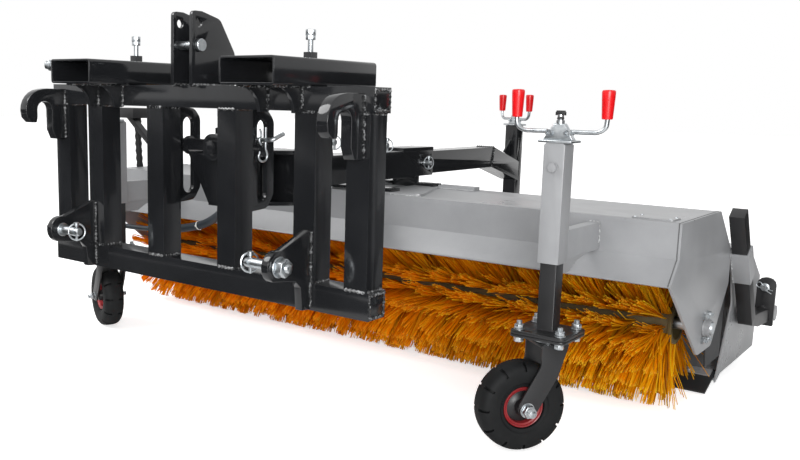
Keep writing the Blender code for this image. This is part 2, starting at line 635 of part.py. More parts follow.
# Centre beam, telescopic rear arm and headstock
def centre_beam():
    h, w = SLEEVE_SIZE / 2, ARM_SIZE / 2 + GAP
    z = SLEEVE_Z
    front = SWIVEL_Y + 0.060
    cheek = [(-0.075, SWIVEL_Y - 0.045), (0.060, SWIVEL_Y - 0.045), (BEAM_X + h, front - 0.01), (BEAM_X + h, front + 0.080), (-0.075, front + 0.080)]
    cheek = rounded(cheek, (0.04, 0.03, 0, 0, 0.02), 3)
    adds = [lambda bm: prism(bm, cheek, "Z", 0.792, 0.804), lambda bm: prism(bm, cheek, "Z", 0.626, 0.638)]
    adds.append(lambda bm: box(bm, (-0.066, BEAM_X + h - 0.004), (front + 0.002, front + 0.072), (0.630, 0.800)))
    adds.append(lambda bm: box(bm, (BEAM_X - 0.0505, BEAM_X + 0.0505), (-0.100, SLEEVE_BACK),
                               (z + h - 0.002, z + h + 0.012)))
    for y in (-0.290, 0.000):
        adds.append(lambda bm, y=y: box(bm, (BEAM_X - 0.058, BEAM_X + 0.058), (y - 0.006, y + 0.006),
                                        (HOOD_TOP + GAP, z - h + 0.004)))
        for x in (BEAM_X - 0.10, BEAM_X + 0.10):
            adds.append(lambda bm, x=x, y=y: box(bm, (x - 0.045, x + 0.045), (y - 0.030, y + 0.030),
                                                 (HOOD_TOP + 0.008 + GAP, HOOD_TOP + 0.018)))
    adds.append(lambda bm: cylinder(bm, "Z", (0, SWIVEL_Y), 0.020, 0.632, 0.820, 20))
    adds.append(lambda bm: hexagon(bm, "Z", (0, SWIVEL_Y), 0.046, 0.803, 0.822))
    adds.append(lambda bm: hexagon(bm, "Z", (0, SWIVEL_Y), 0.046, 0.604, 0.628))
    part("centre_beam", "black", lambda bm: box(bm, (BEAM_X - h, BEAM_X + h), (front, SLEEVE_BACK), (z - h, z + h)), adds,
         [lambda bm: box(bm, (BEAM_X - w, BEAM_X + w), (-0.500, SLEEVE_BACK + 0.02), (z - w, z + w)),
          lambda bm: cylinder(bm, "X", (ARM_PIN_Y, z), 0.0103, BEAM_X - 0.10, BEAM_X + 0.10, 16)],
         origin=(BEAM_X, 0, z))


def rear_arm():
    """Arm that telescopes out of the centre beam and carries the rear post sleeve."""
    h = ARM_SIZE / 2
    z, y1, post = SLEEVE_Z, 0.650, REAR_POST_Y
    half, wall = POST_OUTER / 2, POST_INNER / 2 + GAP
    side = [(-0.420, z - h), (y1 - 0.02, z - h), (post - half + 0.004, z - h - 0.075), (post - half + 0.004, z + h - 0.075), (y1, z + h), (-0.420, z + h)]
    adds = [lambda bm: box(bm, (BEAM_X - half, BEAM_X + half), (post - half, post + half), (0.470, POST_TOP)),
            lambda bm: prism(bm, [(post - half + 0.003, 0.720), (post - half + 0.003, 0.800),
                                  (post - half - 0.008, 0.800), (post - 0.10,
                                                                 0.745)], "X", BEAM_X - 0.004, BEAM_X + 0.004)]
    cuts = [lambda bm: box(bm, (BEAM_X - wall, BEAM_X + wall), (post - wall, post + wall), (0.46, POST_TOP + 0.01)),
            lambda bm: cylinder(bm, "X", (ARM_PIN_Y, z), 0.0103, BEAM_X - 0.10, BEAM_X + 0.10, 16),
            lambda bm: prism(bm, sheet_inset(side), "X", BEAM_X - h + 0.005, BEAM_X + h - 0.005)]
    for zz in (0.760, 0.800):
        cuts.append(lambda bm, zz=zz: cylinder(bm, "X", (post, zz), 0.0063, BEAM_X - 0.05, BEAM_X + 0.05, 12))
    part("rear_arm", "black", lambda bm: prism(bm, side, "X", BEAM_X - h, BEAM_X + h), adds, cuts,
         origin=(BEAM_X, 0, z))


def sheet_inset(side):
    """Inner space of the rear arm's box section, open at its front end."""
    h = ARM_SIZE / 2 - 0.005
    z, y1, post = SLEEVE_Z, 0.650, REAR_POST_Y
    end = post - POST_OUTER / 2 - 0.006
    return [(-0.430, z - h), (y1 - 0.019, z - h), (end, z - h - 0.072), (end, z + h - 0.075), (y1 - 0.001, z + h), (-0.430, z + h)]


def arm_pin():
    """Locking pin of the telescopic arm, secured by a lynch pin with its ring."""
    y, z = ARM_PIN_Y, SLEEVE_Z
    x0, x1 = BEAM_X - 0.066, BEAM_X + 0.078
    lock = x1 - 0.012
    part("arm_pin", "zinc", lambda bm: cylinder(bm, "X", (y, z), 0.010, x0, x1, 16),
         [lambda bm: cylinder(bm, "X", (y, z), 0.016, x0 - 0.008, x0 + 0.002, 16),
          lambda bm: cylinder(bm, "Z", (lock, y), 0.0042, z - 0.026, z + 0.028, 10),
          lambda bm: lathe(bm, circle(0, 0.0225, 0.0024, 4), (lock, y, z), "X", 14)], origin=(x0, y, z))


def swivel_head():
    """Barrel on the vertical swivel pin with the forward pin that the coupling frame rolls about."""
    z0, z1 = 0.638 + GAP, 0.792 - GAP
    y, z = ROLL_TUBE_Y, ROLL_TUBE_Z
    plate = [(-0.050, SWIVEL_Y - 0.020), (0.050, SWIVEL_Y - 0.020), (0.050, y + 0.052), (-0.050, y + 0.052)]
    adds = [lambda bm: prism(bm, plate, "Z", z0 + 0.020, z1 - 0.004),
            lambda bm: box(bm, (-0.062, 0.062), (y + 0.040, y + 0.056), (z0, z + 0.058)),
            lambda bm: cylinder(bm, "Y", (0, z), 0.022, y - 0.046, y + 0.050, 16),
            lambda bm: hexagon(bm, "Y", (0, z), 0.036, y - 0.050, y - 0.0363)]
    part("swivel_head", "black", lambda bm: cylinder(bm, "Z", (0, SWIVEL_Y), 0.040, z0, z1, 24), adds,
         [lambda bm: cylinder(bm, "Z", (0, SWIVEL_Y), 0.0203, 0.60, 0.83, 20)], origin=(0, SWIVEL_Y, 0.715))


def roll_beam():
    """Cross tube on the roll pin; it slides up and down in the coupling frame's slotted guides."""
    y, z = ROLL_TUBE_Y, ROLL_TUBE_Z
    left, right = GUIDES_X
    r = ROLL_TUBE_DIAMETER / 2
    adds = [lambda bm: cylinder(bm, "X", (y, z), r, left - 0.022, right + 0.022, 20)]
    for s, c in ((-1, left), (1, right)):
        adds.append(lambda bm, s=s, c=c: cylinder(bm, "X", (y, z), r + 0.008, *sorted((c - s * 0.010, c - s * 0.016)), 20))
        gusset = [(s * 0.036, z - 0.010), (c - s * 0.014, z - 0.010), (c - s * 0.014, z - 0.030),
                  (s * 0.046, z - 0.185), (s * 0.036, z - 0.185)]
        adds.append(lambda bm, gusset=gusset: prism(bm, gusset, "Y", y - 0.004, y + 0.004))
    adds.append(lambda bm: box(bm, (-0.046, 0.046), (y - 0.006, y + 0.006), (z - 0.187, z - 0.030)))
    part("roll_beam", "black", lambda bm: cylinder(bm, "Y", (0, z), 0.042, y - 0.036, y + 0.0395, 20), adds,
         [lambda bm: cylinder(bm, "Y", (0, z), 0.0223, y - 0.06, y + 0.06, 16)], origin=(0, y, z))


# Coupling frame on the side of the carrying machine
def coupling_frame():
    y0, y1 = FRAME_FRONT, FRAME_FRONT + FRAME_DEPTH
    half = FRAME_WIDTH / 2
    adds = [lambda bm: box(bm, (-half, half), (y0, y1), (FRAME_TOP - BEAM_HEIGHT, FRAME_TOP))]
    for s in (-1, 1):
        for c in UPRIGHT_OFFSETS:
            x = s * c
            adds.append(lambda bm, x=x: box(bm, (x - UPRIGHT_WIDTH / 2, x + UPRIGHT_WIDTH / 2), (y0 + 0.002, y1 - 0.002),
                                            (FRAME_BOTTOM + RAIL_HEIGHT - 0.004,
                                             FRAME_TOP - BEAM_HEIGHT + 0.004)))
    guide = rounded([(y1 - 0.004, 0.630), (y1 + 0.080, 0.636), (y1 + 0.108, 0.676), (y1 + 0.108, 0.902),
                     (y1 + 0.082, 0.932), (y1 - 0.004, 0.942)],
                    (0, 0.03, 0.03, 0.03, 0.03, 0), 3)
    wide = ROLL_TUBE_DIAMETER / 2 + 0.0008
    y = ROLL_TUBE_Y
    slot = rounded([(y - wide, 0.660), (y + wide, 0.660), (y + wide, 0.906), (y - wide, 0.906)],
                   wide - 0.0001, 5)
    adds += [lambda bm, g=g: prism(bm, guide, "X", g - 0.008, g + 0.008) for g in GUIDES_X]
    cuts = [lambda bm, g=g: prism(bm, slot, "X", g - 0.02, g + 0.02) for g in GUIDES_X]
    part("coupling_frame", "black", lambda bm: box(bm, (-half, half), (y0, y1), (FRAME_BOTTOM,
                                                                                 FRAME_BOTTOM + RAIL_HEIGHT)),
         adds, cuts, origin=(0, y0 + FRAME_DEPTH / 2, FRAME_BOTTOM))


def fork_pocket(name, side):
    """Rectangular tube for a fork tine with its clamp boss and two gussets on the beam."""
    x = side * POCKET_SPACING / 2
    w, z0 = POCKET_WIDTH / 2, FRAME_TOP + GAP
    z1 = z0 + POCKET_HEIGHT
    y0, y1 = POCKET_FRONT, POCKET_FRONT + POCKET_LENGTH
    t = POCKET_WALL
    f = FRAME_FRONT - GAP
    arc = circle(f - 0.100, z0 - 0.072, 0.068, 5, 0.0, math.pi / 2)
    gusset = [(f, z0 + 0.003), (f, z0 - 0.072)] + arc + [(f - 0.116, z0 - 0.004), (f - 0.116, z0 + 0.003)]
    adds = [lambda bm, d=d: prism(bm, gusset, "X", x + d - 0.005, x + d + 0.005) for d in (-0.062, 0.062)]
    boss_y = f + 0.115
    adds.append(lambda bm: box(bm, (x - 0.014, x + 0.014), (boss_y - 0.014, boss_y + 0.014), (z1 - 0.003, z1 + 0.022)))
    tube = rounded([(x - w, z0), (x + w, z0), (x + w, z1), (x - w, z1)], 0.010, 3)
    hole = rounded([(x - w + t, z0 + t), (x + w - t, z0 + t), (x + w - t, z1 - t), (x - w + t, z1 - t)],
                   0.004, 2)
    part(name, "black", lambda bm: prism(bm, tube, "Y", y0, y1), adds,
         [lambda bm: prism(bm, hole, "Y", y0 - 0.01, y1 + 0.01),
          lambda bm: cylinder(bm, "Z", (x, boss_y), 0.0083, z1 - 0.02, z1 + 0.03, 16)], origin=(x, y0, z0))


def clamp_bolt(name, side):
    x, y = side * POCKET_SPACING / 2, FRAME_FRONT - GAP + 0.115
    z1 = FRAME_TOP + GAP + POCKET_HEIGHT
    part(name, "zinc", lambda bm: cylinder(bm, "Z", (x, y), 0.008, z1 - 0.0055, z1 + 0.088, 16),
         [lambda bm: hexagon(bm, "Z", (x, y), 0.024, z1 + 0.048, z1 + 0.061), lambda bm: hexagon(bm, "Z", (x, y), 0.024, z1 + 0.066, z1 + 0.082)],
         origin=(x, y, z1))


def top_link_mast():
    y0, z0 = FRAME_FRONT, FRAME_TOP + GAP
    outline = [(y0 - 0.030, z0), (y0 - 0.027, MAST_TOP), (y0 + 0.012, MAST_TOP), (y0 + 0.087,
                                                                                  MAST_TOP - 0.018), (y0 + 0.150, MAST_TOP - 0.115), (y0 + 0.150, z0)]
    outline = rounded(outline, (0, 0.012, 0.02, 0.03, 0.02, 0), 3)
    a, b = MAST_GAP / 2, MAST_GAP / 2 + MAST_PLATE
    holes = [lambda bm, z=z: cylinder(bm, "X", (y0, z), 0.0130, -b - 0.01, b + 0.01, 20)
             for z in TOP_LINK_HOLES]
    part("top_link_mast", "black", lambda bm: prism(bm, outline, "X", a, b),
         [lambda bm: prism(bm, outline, "X", -b, -a), lambda bm: box(bm, (-a - 0.004, a + 0.004),
                                                                     (y0 + 0.110, y0 + 0.122), (z0, z0 + 0.085))],
         holes, origin=(0, y0, z0))


def top_link_pin():
    y, z = FRAME_FRONT, TOP_LINK_HOLES[1]
    b = MAST_GAP / 2 + MAST_PLATE
    part("top_link_pin", "zinc", lambda bm: cylinder(bm, "X", (y, z), 0.0125, -b - 0.024, b + 0.004, 20),
         [lambda bm: cylinder(bm, "X", (y, z), 0.0185, b + GAP, b + 0.013, 20)], origin=(b, y, z))


def coupling_hook(name, side):
    """Open-bottomed hook that drops over a carrier's cross bar."""
    x = side * HOOK_OFFSET
    y0 = FRAME_FRONT - GAP
    r = HOOK_PIN_DIAMETER / 2
    slot_y, slot_z = y0 - 0.080, 0.917
    inner = circle(slot_y, slot_z, r, 8, 0.0, math.pi)
    outline = [(y0, 0.818), (y0, slot_z + 0.070), (slot_y + 0.010, slot_z + 0.070)]
    outline += circle(slot_y, slot_z - 0.004, 0.072, 7, math.pi / 2 - 0.15, math.pi / 2 + 0.15)[1:]
    outline += [(slot_y - 0.068, 0.890), (slot_y - 0.052, 0.874), (slot_y - r - 0.004, 0.874), (slot_y - r, 0.888)]
    outline += inner[::-1]
    outline += [(slot_y + r, 0.850), (slot_y + r + 0.014, 0.818)]
    part(name, "black", lambda bm: prism(bm, outline, "X", x - HOOK_WIDTH / 2, x + HOOK_WIDTH / 2),
         origin=(x, y0, 0.9))


def link_bracket(name, side):
    x = side * LINK_PIN_SPREAD / 2
    y0 = FRAME_FRONT - GAP
    y, z = LINK_PIN_Y, LINK_PIN_Z
    nose = circle(y, z, 0.043, 8, math.radians(75), math.radians(165))
    outline = [(y0, 0.616), (y0 - 0.012, 0.616)] + nose + [(-1.135, 0.483), (-1.112, 0.462), (-1.106, 0.397), (y0, 0.395)]
    half = LINK_BRACKET_PLATE / 2
    part(name, "black", lambda bm: prism(bm, outline, "X", x - half, x + half), (),
         [lambda bm: cylinder(bm, "X", (y, z), 0.0123, x - 0.02, x + 0.02, 20)], origin=(x, y0, z))


def link_pin(name, side):
    """Lower link pin bolted through its bracket, pointing to the middle of the frame."""
    x = side * LINK_PIN_SPREAD / 2
    centre = (LINK_PIN_Y, LINK_PIN_Z)

    def span(a, b):
        return sorted((x - side * a, x - side * b))
    face = LINK_BRACKET_PLATE / 2 + GAP
    adds = [lambda bm: cylinder(bm, "X", centre, 0.021, *span(face, face + 0.006), 20),
            lambda bm: cylinder(bm, "X", centre, 0.012, *span(face + 0.002, -face - 0.040), 16),
            lambda bm: cylinder(bm, "X", centre, 0.022, *span(-face, -face - 0.005), 20),
            lambda bm: hexagon(bm, "X", centre, 0.036, *span(-face - 0.004, -face - 0.028))]
    part(name, "zinc", lambda bm: cylinder(bm, "X", centre, LINK_PIN_DIAMETER / 2, *span(face + 0.005, 0.105), 16), adds,
         [lambda bm: cylinder(bm, "Z", (x - side * 0.088, centre[0]), 0.0058, centre[1] - 0.03,
                              centre[1] + 0.03, 8)],
         origin=(x, *centre))


def lynch_pin(name, side):
    x = side * (LINK_PIN_SPREAD / 2 - 0.088)
    y, z = LINK_PIN_Y, LINK_PIN_Z
    top = z + LINK_PIN_DIAMETER / 2 + 0.004
    part(name, "zinc", lambda bm: cylinder(bm, "Z", (x, y), 0.0050, z - 0.030, top + 0.010, 8),
         [lambda bm: box(bm, (x - 0.006, x + 0.006), (y - 0.012, y + 0.012), (top, top + 0.012)),
          lambda bm: lathe(bm, circle(0, 0.0245, 0.0024, 4), (x, y, z), "X", 14)], origin=(x, y, top))


# Hoses of the drive motor and the bar that holds them
PORT_X = -(HALF + GAP + 0.095)
PORT_Z = BRUSH_AXIS_HEIGHT + 0.066
SUPPORT_Y = -0.230


def hose_support():
    """Slanting square bar on the hood with a clamp block at its top, beyond the hood's end."""
    x = -HALF + 0.215
    adds = [lambda bm: rod(bm, [(x, SUPPORT_Y, HOOD_TOP + 0.019), (-HALF - 0.055, SUPPORT_Y, 0.880)], 0.019,
                           4),
            lambda bm: box(bm, (-HALF - 0.124, -HALF + 0.004), (SUPPORT_Y - 0.028, SUPPORT_Y + 0.058),
                           (0.866, 0.912))]
    part("hose_support", "black",
         lambda bm: box(bm, (x - 0.045, x + 0.035), (SUPPORT_Y - 0.035, SUPPORT_Y + 0.035), (HOOD_TOP + GAP, HOOD_TOP + 0.008)), adds,
         origin=(x, SUPPORT_Y, HOOD_TOP))


def motor_hose():
    """Guarded hose from the clamp block down outside the end plate to the motor's rear port."""
    x, y = -HALF - 0.040, SUPPORT_Y + 0.038
    path = [(x, y, 0.866 - GAP), (x, y, 0.780), (x + 0.003, y + 0.004, 0.660), (x - 0.002, y + 0.020, 0.560),
            (x - 0.020, -0.120, 0.480), (PORT_X, -0.030, 0.452), (PORT_X, 0.012, 0.432), (PORT_X, 0.024, 0.395), (PORT_X, 0.024, PORT_Z + 0.016)]
    part("motor_hose", "rubber", lambda bm: rod(bm, path, GUARD_RADIUS, 10),
         [lambda bm: hexagon(bm, "Z", (PORT_X, 0.024), 0.024, PORT_Z + GAP, PORT_Z + 0.022)], origin=path[0])


def front_hose():
    """Hose from the headstock along the hood's front and round its left end to the motor's front port."""
    y, z = SWIVEL_Y + 0.097, 0.715
    path = [(-0.080, y, z), (-0.130, y, z - 0.004), (-0.190, y + 0.025, z - 0.025), (-0.310, -0.580, 0.625),
            (-0.430, -0.480, 0.545),
            (-0.546, -0.428, 0.483), (-0.633, -0.424, 0.448), (-0.765, -0.424, 0.419), (-0.950, -0.430, 0.402), (-1.140, -0.425, 0.398),
            (-HALF - 0.020, -0.372, 0.398), (PORT_X + 0.005, -0.260, 0.402), (PORT_X, -0.120,
                                                                              0.412), (PORT_X, -0.052, 0.408),
            (PORT_X, -0.028, 0.385), (PORT_X, -0.024, PORT_Z + 0.016)]
    part("front_hose", "rubber", lambda bm: rod(bm, path, HOSE_RADIUS, 8),
         [lambda bm: hexagon(bm, "X", (y, z), 0.027, -0.094, -0.066 - GAP),
          lambda bm: hexagon(bm, "Z", (PORT_X, -0.024), 0.024, PORT_Z + GAP, PORT_Z + 0.022)], origin=path[0])


# Build everything
RIGHT_HEADING = math.radians(-39)
LEFT_HEADING = math.radians(-112)
REAR_HEADING = math.radians(180)

hood()
for tag, px, py, heading, crank_turn in (("right", POST_RIGHT_X, POST_Y, RIGHT_HEADING, 0.0), ("left", POST_LEFT_X, POST_Y, LEFT_HEADING, -0.67),
                                         ("rear", BEAM_X, REAR_POST_Y, REAR_HEADING, -0.614)):
    if tag != "rear":
        post_sleeve("post_sleeve_" + tag, px)
    offset = LEFT_CASTER_OFFSET if tag == "left" else 0.0
    post_inner("post_inner_" + tag, px, py, 0.790, offset)
    caster_plate("caster_plate_" + tag, px + offset, py)
    caster_fork("caster_fork_" + tag, px + offset, py, heading)
    tyre("tyre_" + tag, px + offset, py, heading)
    rim("rim_" + tag, px + offset, py, heading)
    crank("height_crank_" + tag, px, py, crank_turn)
hose_support()
motor_hose()
front_hose()
brush_core()
for number in range(1, STRIP_COUNT + 1):
    bristle_strip(number)
bearing("brush_bearing_right", 1, False)
bearing("brush_motor_left", -1, True)
collecting_box()
lip_strip()
rubber_lip()
centre_beam()
rear_arm()
arm_pin()
swivel_head()
roll_beam()
coupling_frame()
top_link_mast()
top_link_pin()
for tag, sign in (("right", 1), ("left", -1)):
    side_curtain("side_curtain_" + tag, sign)
    box_carrier("box_carrier_" + tag, sign)
    fork_pocket("fork_pocket_" + tag, sign)
    clamp_bolt("clamp_bolt_" + tag, sign)
    coupling_hook("coupling_hook_" + tag, sign)
    link_bracket("link_bracket_" + tag, sign)
    link_pin("link_pin_" + tag, sign)
    lynch_pin("lynch_pin_" + tag, sign)
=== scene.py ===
# %% [markdown]
# This lesson dresses a carried roller sweeper: a black coupling frame, a grey hood over a
# brush roller, a collecting box and three casters. The exact solids come in as a fixed frame.
# We keep their places, and give them looks: softened edges, weld beads, bolts, bristles.

# %% Load the solids
import json
import math

import bpy
import numpy as np
from mathutils import Matrix, Quaternion, Vector

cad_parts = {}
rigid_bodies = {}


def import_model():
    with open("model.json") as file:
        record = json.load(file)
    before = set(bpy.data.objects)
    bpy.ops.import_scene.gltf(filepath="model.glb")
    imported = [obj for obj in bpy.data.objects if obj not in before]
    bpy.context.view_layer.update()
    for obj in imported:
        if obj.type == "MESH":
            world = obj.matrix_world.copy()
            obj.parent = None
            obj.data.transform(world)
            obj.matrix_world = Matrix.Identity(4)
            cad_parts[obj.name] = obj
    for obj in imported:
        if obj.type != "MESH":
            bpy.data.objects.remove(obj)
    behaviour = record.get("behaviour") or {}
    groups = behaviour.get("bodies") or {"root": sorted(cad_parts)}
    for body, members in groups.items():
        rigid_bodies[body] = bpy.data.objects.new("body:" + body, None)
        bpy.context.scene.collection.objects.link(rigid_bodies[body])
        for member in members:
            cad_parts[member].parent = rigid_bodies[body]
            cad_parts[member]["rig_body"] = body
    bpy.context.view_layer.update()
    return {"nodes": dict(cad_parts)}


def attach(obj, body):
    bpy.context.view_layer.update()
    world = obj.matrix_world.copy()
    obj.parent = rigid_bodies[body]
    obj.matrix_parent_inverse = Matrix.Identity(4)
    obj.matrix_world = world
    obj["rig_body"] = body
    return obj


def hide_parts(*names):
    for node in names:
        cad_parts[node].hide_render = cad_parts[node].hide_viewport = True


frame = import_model()

# %% [markdown]
# A few sizes of the machine are needed again and again below, so they get names here. All of
# them are in metres and belong to the solids: the looks have to follow them exactly.

# %% Sizes shared by several pieces
AXIS_HEIGHT = 0.272      # brush axis above the ground
END_FACE = 1.2453        # outer face of the hood's end plates, from the middle
WHEEL_RADIUS = 0.130     # caster wheel, which stands on the ground
TRAIL = 0.075            # wheel axle behind the caster's upright axis
FRONT_POSTS, POST_Y = {"right": 0.990, "left": -0.893}, -0.635
REAR_POST = (0.090, 0.930)
UPRIGHTS = (0.156, 0.453, 0.632)         # middles of the frame's upright tubes, on both sides
POCKET_X, BRACKET_X, HOOK_X = 0.375, 0.470, 0.632
LEFT_GUIDE, RIGHT_GUIDE = -0.152, 0.170  # the slotted guides behind the frame
print("brush axis", AXIS_HEIGHT, "end face", END_FACE, "posts", FRONT_POSTS, REAR_POST)

# %% [markdown]
# The camera stands where the picture was taken: in front and to the right, a little above
# the frame. Its lens is 39 mm on a 36 mm sensor. A small shift keeps the object in the middle
# of the picture without tilting the upright lines.

# %% Camera
def aim_camera(place, yaw, pitch, roll, lens, shift):
    """Camera at a point, turned by yaw about Z, pitched and rolled, all in degrees."""
    y, p, r = (math.radians(a) for a in (yaw, pitch, roll))
    right = Vector((math.cos(y), math.sin(y), 0))
    ahead = Vector((-math.sin(y) * math.cos(p), math.cos(y) * math.cos(p), math.sin(p)))
    up = right.cross(ahead)
    side = right * math.cos(r) + up * math.sin(r)
    top = -right * math.sin(r) + up * math.cos(r)
    bpy.ops.object.camera_add(location=place)
    camera = bpy.context.object
    turn = Matrix((side, top, -ahead)).transposed()
    camera.matrix_world = Matrix.Translation(place) @ turn.to_4x4()
    camera.data.sensor_width = 36
    camera.data.lens = lens
    camera.data.shift_x, camera.data.shift_y = shift
    bpy.context.scene.camera = camera
    return camera


camera = aim_camera((1.9678, -2.9093, 0.9700), 38.09, -8.87, 1.16, 39.44, (0.0949, 0.0075))
print("camera at", tuple(round(v, 2) for v in camera.location))

# %% [markdown]
# Colours are written as the hex values that a paint chart would give. The renderer works with
# linear light, so one function turns a hex value into linear red, green and blue.
# A second function adds any shader node, sets its values and draws its links, so that each
# material below reads as a short list.

# %% Colour and node helpers
def tone(hex_colour):
    """sRGB hex colour as linear RGBA."""
    channels = [int(hex_colour[i:i + 2], 16) / 255 for i in (1, 3, 5)]
    return [c / 12.92 if c <= 0.04045 else ((c + 0.055) / 1.055) ** 2.4 for c in channels] + [1.0]


def add_node(material, kind, values=(), links=(), **settings):
    """Adds a node; values set its sockets, links join (socket, node, output), settings its options."""
    tree = material.node_tree
    node = tree.nodes.new("ShaderNode" + kind)
    for key, value in settings.items():
        setattr(node, key, value)
    for socket, value in dict(values).items():
        node.inputs[socket].default_value = value
    for socket, source, output in links:
        tree.links.new(source.outputs[output], node.inputs[socket])
    return node


def new_material(name, roughness=0.5, metallic=0.0, **sockets):
    """An empty node material with a Principled shader; returns material and shader."""
    material = bpy.data.materials.new(name)
    material.use_nodes = True
    shader = material.node_tree.nodes["Principled BSDF"]
    shader.inputs["Roughness"].default_value = roughness
    shader.inputs["Metallic"].default_value = metallic
    for socket, value in sockets.items():
        shader.inputs[socket.replace("_", " ")].default_value = value
    return material, shader


def link(material, source, output, target, socket):
    """Draws one link between two nodes that exist already."""
    material.node_tree.links.new(source.outputs[output], target.inputs[socket])


def ramp(material, source, output, stops):
    """Colour ramp through (position, hex) stops, driven by a node's output."""
    node = add_node(material, "ValToRGB", links=[("Fac", source, output)])
    band = node.color_ramp.elements
    for i, (place, colour) in enumerate(stops):
        stop = band[i] if i < 2 else band.new(place)
        stop.position, stop.color = place, tone(colour)
    return node


print("mid grey", [round(v, 3) for v in tone("#808080")])

# %% [markdown]
# Grey parts are powder coated steel. Powder coat is thick and slightly pebbled: the bumps are
# about 3 mm across and only hundredths of a millimetre high, so they show as a broken shine.
# A large, weak cloud in the colour stands for dust and handling. One function makes a paint,
# because the hood, the black frame and the red rims differ only in colour, gloss and grain.
# Over a weld bead the paint carries small light flecks, painted glints of the weld scales, and
# the joints at the hood's ends get a darker grey, painted shade in their narrow gap.

# %% Paints
def paint(name, dark, light, roughness, grain_mm, bump, dust=0.25, glint_fleck_mm=0.0):
    """Coated steel: a cloud between two close colours, pebbled surface, a little uneven gloss.
    Over welds the cloud becomes small light flecks: painted glints of the weld scales."""
    made, shader = new_material(name, roughness)
    spot = add_node(made, "TexCoord")
    cloud = add_node(made, "TexNoise", {"Scale": 4.0, "Detail": 5.0, "Roughness": 0.6},
                     [("Vector", spot, "Object")])
    colour = ramp(made, cloud, "Fac", [(0.35, dark), (0.70, light)])
    # Light flecks over welds: the colour cloud shrinks to small spots, painted glints of the weld scales.
    if glint_fleck_mm:
        cloud.inputs["Scale"].default_value = 1000.0 / glint_fleck_mm / 2
        colour.color_ramp.elements[0].position, colour.color_ramp.elements[1].position = 0.50, 0.62
    pebble = add_node(made, "TexNoise", {"Scale": 1000.0 / grain_mm / 2, "Detail": 2.0},
                      [("Vector", spot, "Object")])
    gloss = add_node(made, "MapRange", {"From Min": 0.3, "From Max": 0.75, "To Min": roughness * (1 - dust),
                                        "To Max": roughness * (1 + dust)}, [("Value", cloud, "Fac")])
    relief = add_node(made, "Bump", {"Strength": bump, "Distance": 0.0006}, [("Height", pebble, "Fac")])
    link(made, colour, "Color", shader, "Base Color")
    link(made, gloss, "Result", shader, "Roughness")
    link(made, relief, "Normal", shader, "Normal")
    return made


grey_coat = paint("grey_powder_coat", "#87888a", "#949597", 0.34, 3.0, 0.10)
black_enamel = paint("black_gloss_enamel", "#17181a", "#1f2022", 0.13, 6.0, 0.06, dust=0.40)
# Both weld paints carry light flecks: painted glints on the bead's scales.
weld_enamel = paint("enamel_over_weld_painted_glints", "#1b1c1d", "#808182", 0.20, 3.0, 1.00, dust=0.50, glint_fleck_mm=4.5)
# The dark grey of the hood's end joints is painted shade in the narrow gap between plate and sheet.
seam_shadow = paint("painted_joint_shade", "#4e4f50", "#6c6d6e", 0.50, 3.0, 0.10)
weld_grey = paint("powder_coat_over_weld_painted_glints", "#858687", "#c4c5c6", 0.38, 3.0, 1.00, glint_fleck_mm=5.0)
black_satin = paint("black_satin_coat", "#1b1b1c", "#242426", 0.38, 3.0, 0.12)
rim_red = paint("red_rim_enamel", "#7e1a1e", "#932529", 0.34, 4.0, 0.10)
print("paints", grey_coat.name, black_enamel.name, rim_red.name)

# %% [markdown]
# Bolts, pins and crank rods are zinc plated steel: a metal with a cool grey colour, blurred
# shine and faint patches left by the plating bath. Patches of about 15 mm in the roughness
# are enough; the colour changes very little.

# %% Zinc plate
def zinc_plate():
    made, shader = new_material("zinc_plated_steel", 0.30, 1.0)
    spot = add_node(made, "TexCoord")
    patch = add_node(made, "TexNoise", {"Scale": 65.0, "Detail": 4.0}, [("Vector", spot, "Object")])
    colour = ramp(made, patch, "Fac", [(0.3, "#a6abaf"), (0.7, "#c4c8ca")])
    gloss = add_node(made, "MapRange", {"To Min": 0.20, "To Max": 0.42}, [("Value", patch, "Fac")])
    link(made, colour, "Color", shader, "Base Color")
    link(made, gloss, "Result", shader, "Roughness")
    return made


zinc = zinc_plate()
print("plated", zinc.name)

# %% [markdown]
# Rubber and plastic share one function too: the solid tyre, dull and charcoal with fine specks;
# the flat rubber of lip and curtains, a little smoother; the red grips, which shine like any
# dipped handle; and the hoses, one with a black spiral guard and one with a white tie.

# %% Rubber and plastic
def moulded(name, dark, light, roughness, speck_mm, bump, cloud_scale=30.0, shine=0.5):
    """Rubber or plastic: a cloud between two close colours and a fine speckled relief."""
    made, shader = new_material(name, roughness, Specular_IOR_Level=shine)
    spot = add_node(made, "TexCoord")
    cloud = add_node(made, "TexNoise", {"Scale": cloud_scale, "Detail": 6.0}, [("Vector", spot, "Object")])
    speck = add_node(made, "TexNoise", {"Scale": 1000.0 / speck_mm / 2, "Detail": 3.0},
                     [("Vector", spot, "Object")])
    colour = ramp(made, cloud, "Fac", [(0.3, dark), (0.7, light)])
    relief = add_node(made, "Bump", {"Strength": bump, "Distance": 0.0004}, [("Height", speck, "Fac")])
    link(made, colour, "Color", shader, "Base Color")
    link(made, relief, "Normal", shader, "Normal")
    return made


tyre_rubber = moulded("solid_tyre_rubber", "#0d0e0f", "#141516", 0.66, 2.0, 0.35, shine=0.22)
sheet_rubber = moulded("rubber_sheet", "#1b1c1e", "#242527", 0.55, 1.5, 0.20, 8.0)
grip_plastic = moulded("red_grip_plastic", "#c4060c", "#d90e15", 0.28, 3.0, 0.08, 20.0)
hose_rubber = moulded("hose_rubber", "#131a21", "#1d2730", 0.45, 1.5, 0.15)
guard_plastic = moulded("spiral_guard_plastic", "#151617", "#1f2021", 0.50, 2.0, 0.15)
tie_nylon = moulded("white_nylon_tie", "#d9d9d2", "#e6e6e0", 0.35, 1.0, 0.05)
print("moulded", tyre_rubber.name, grip_plastic.name)
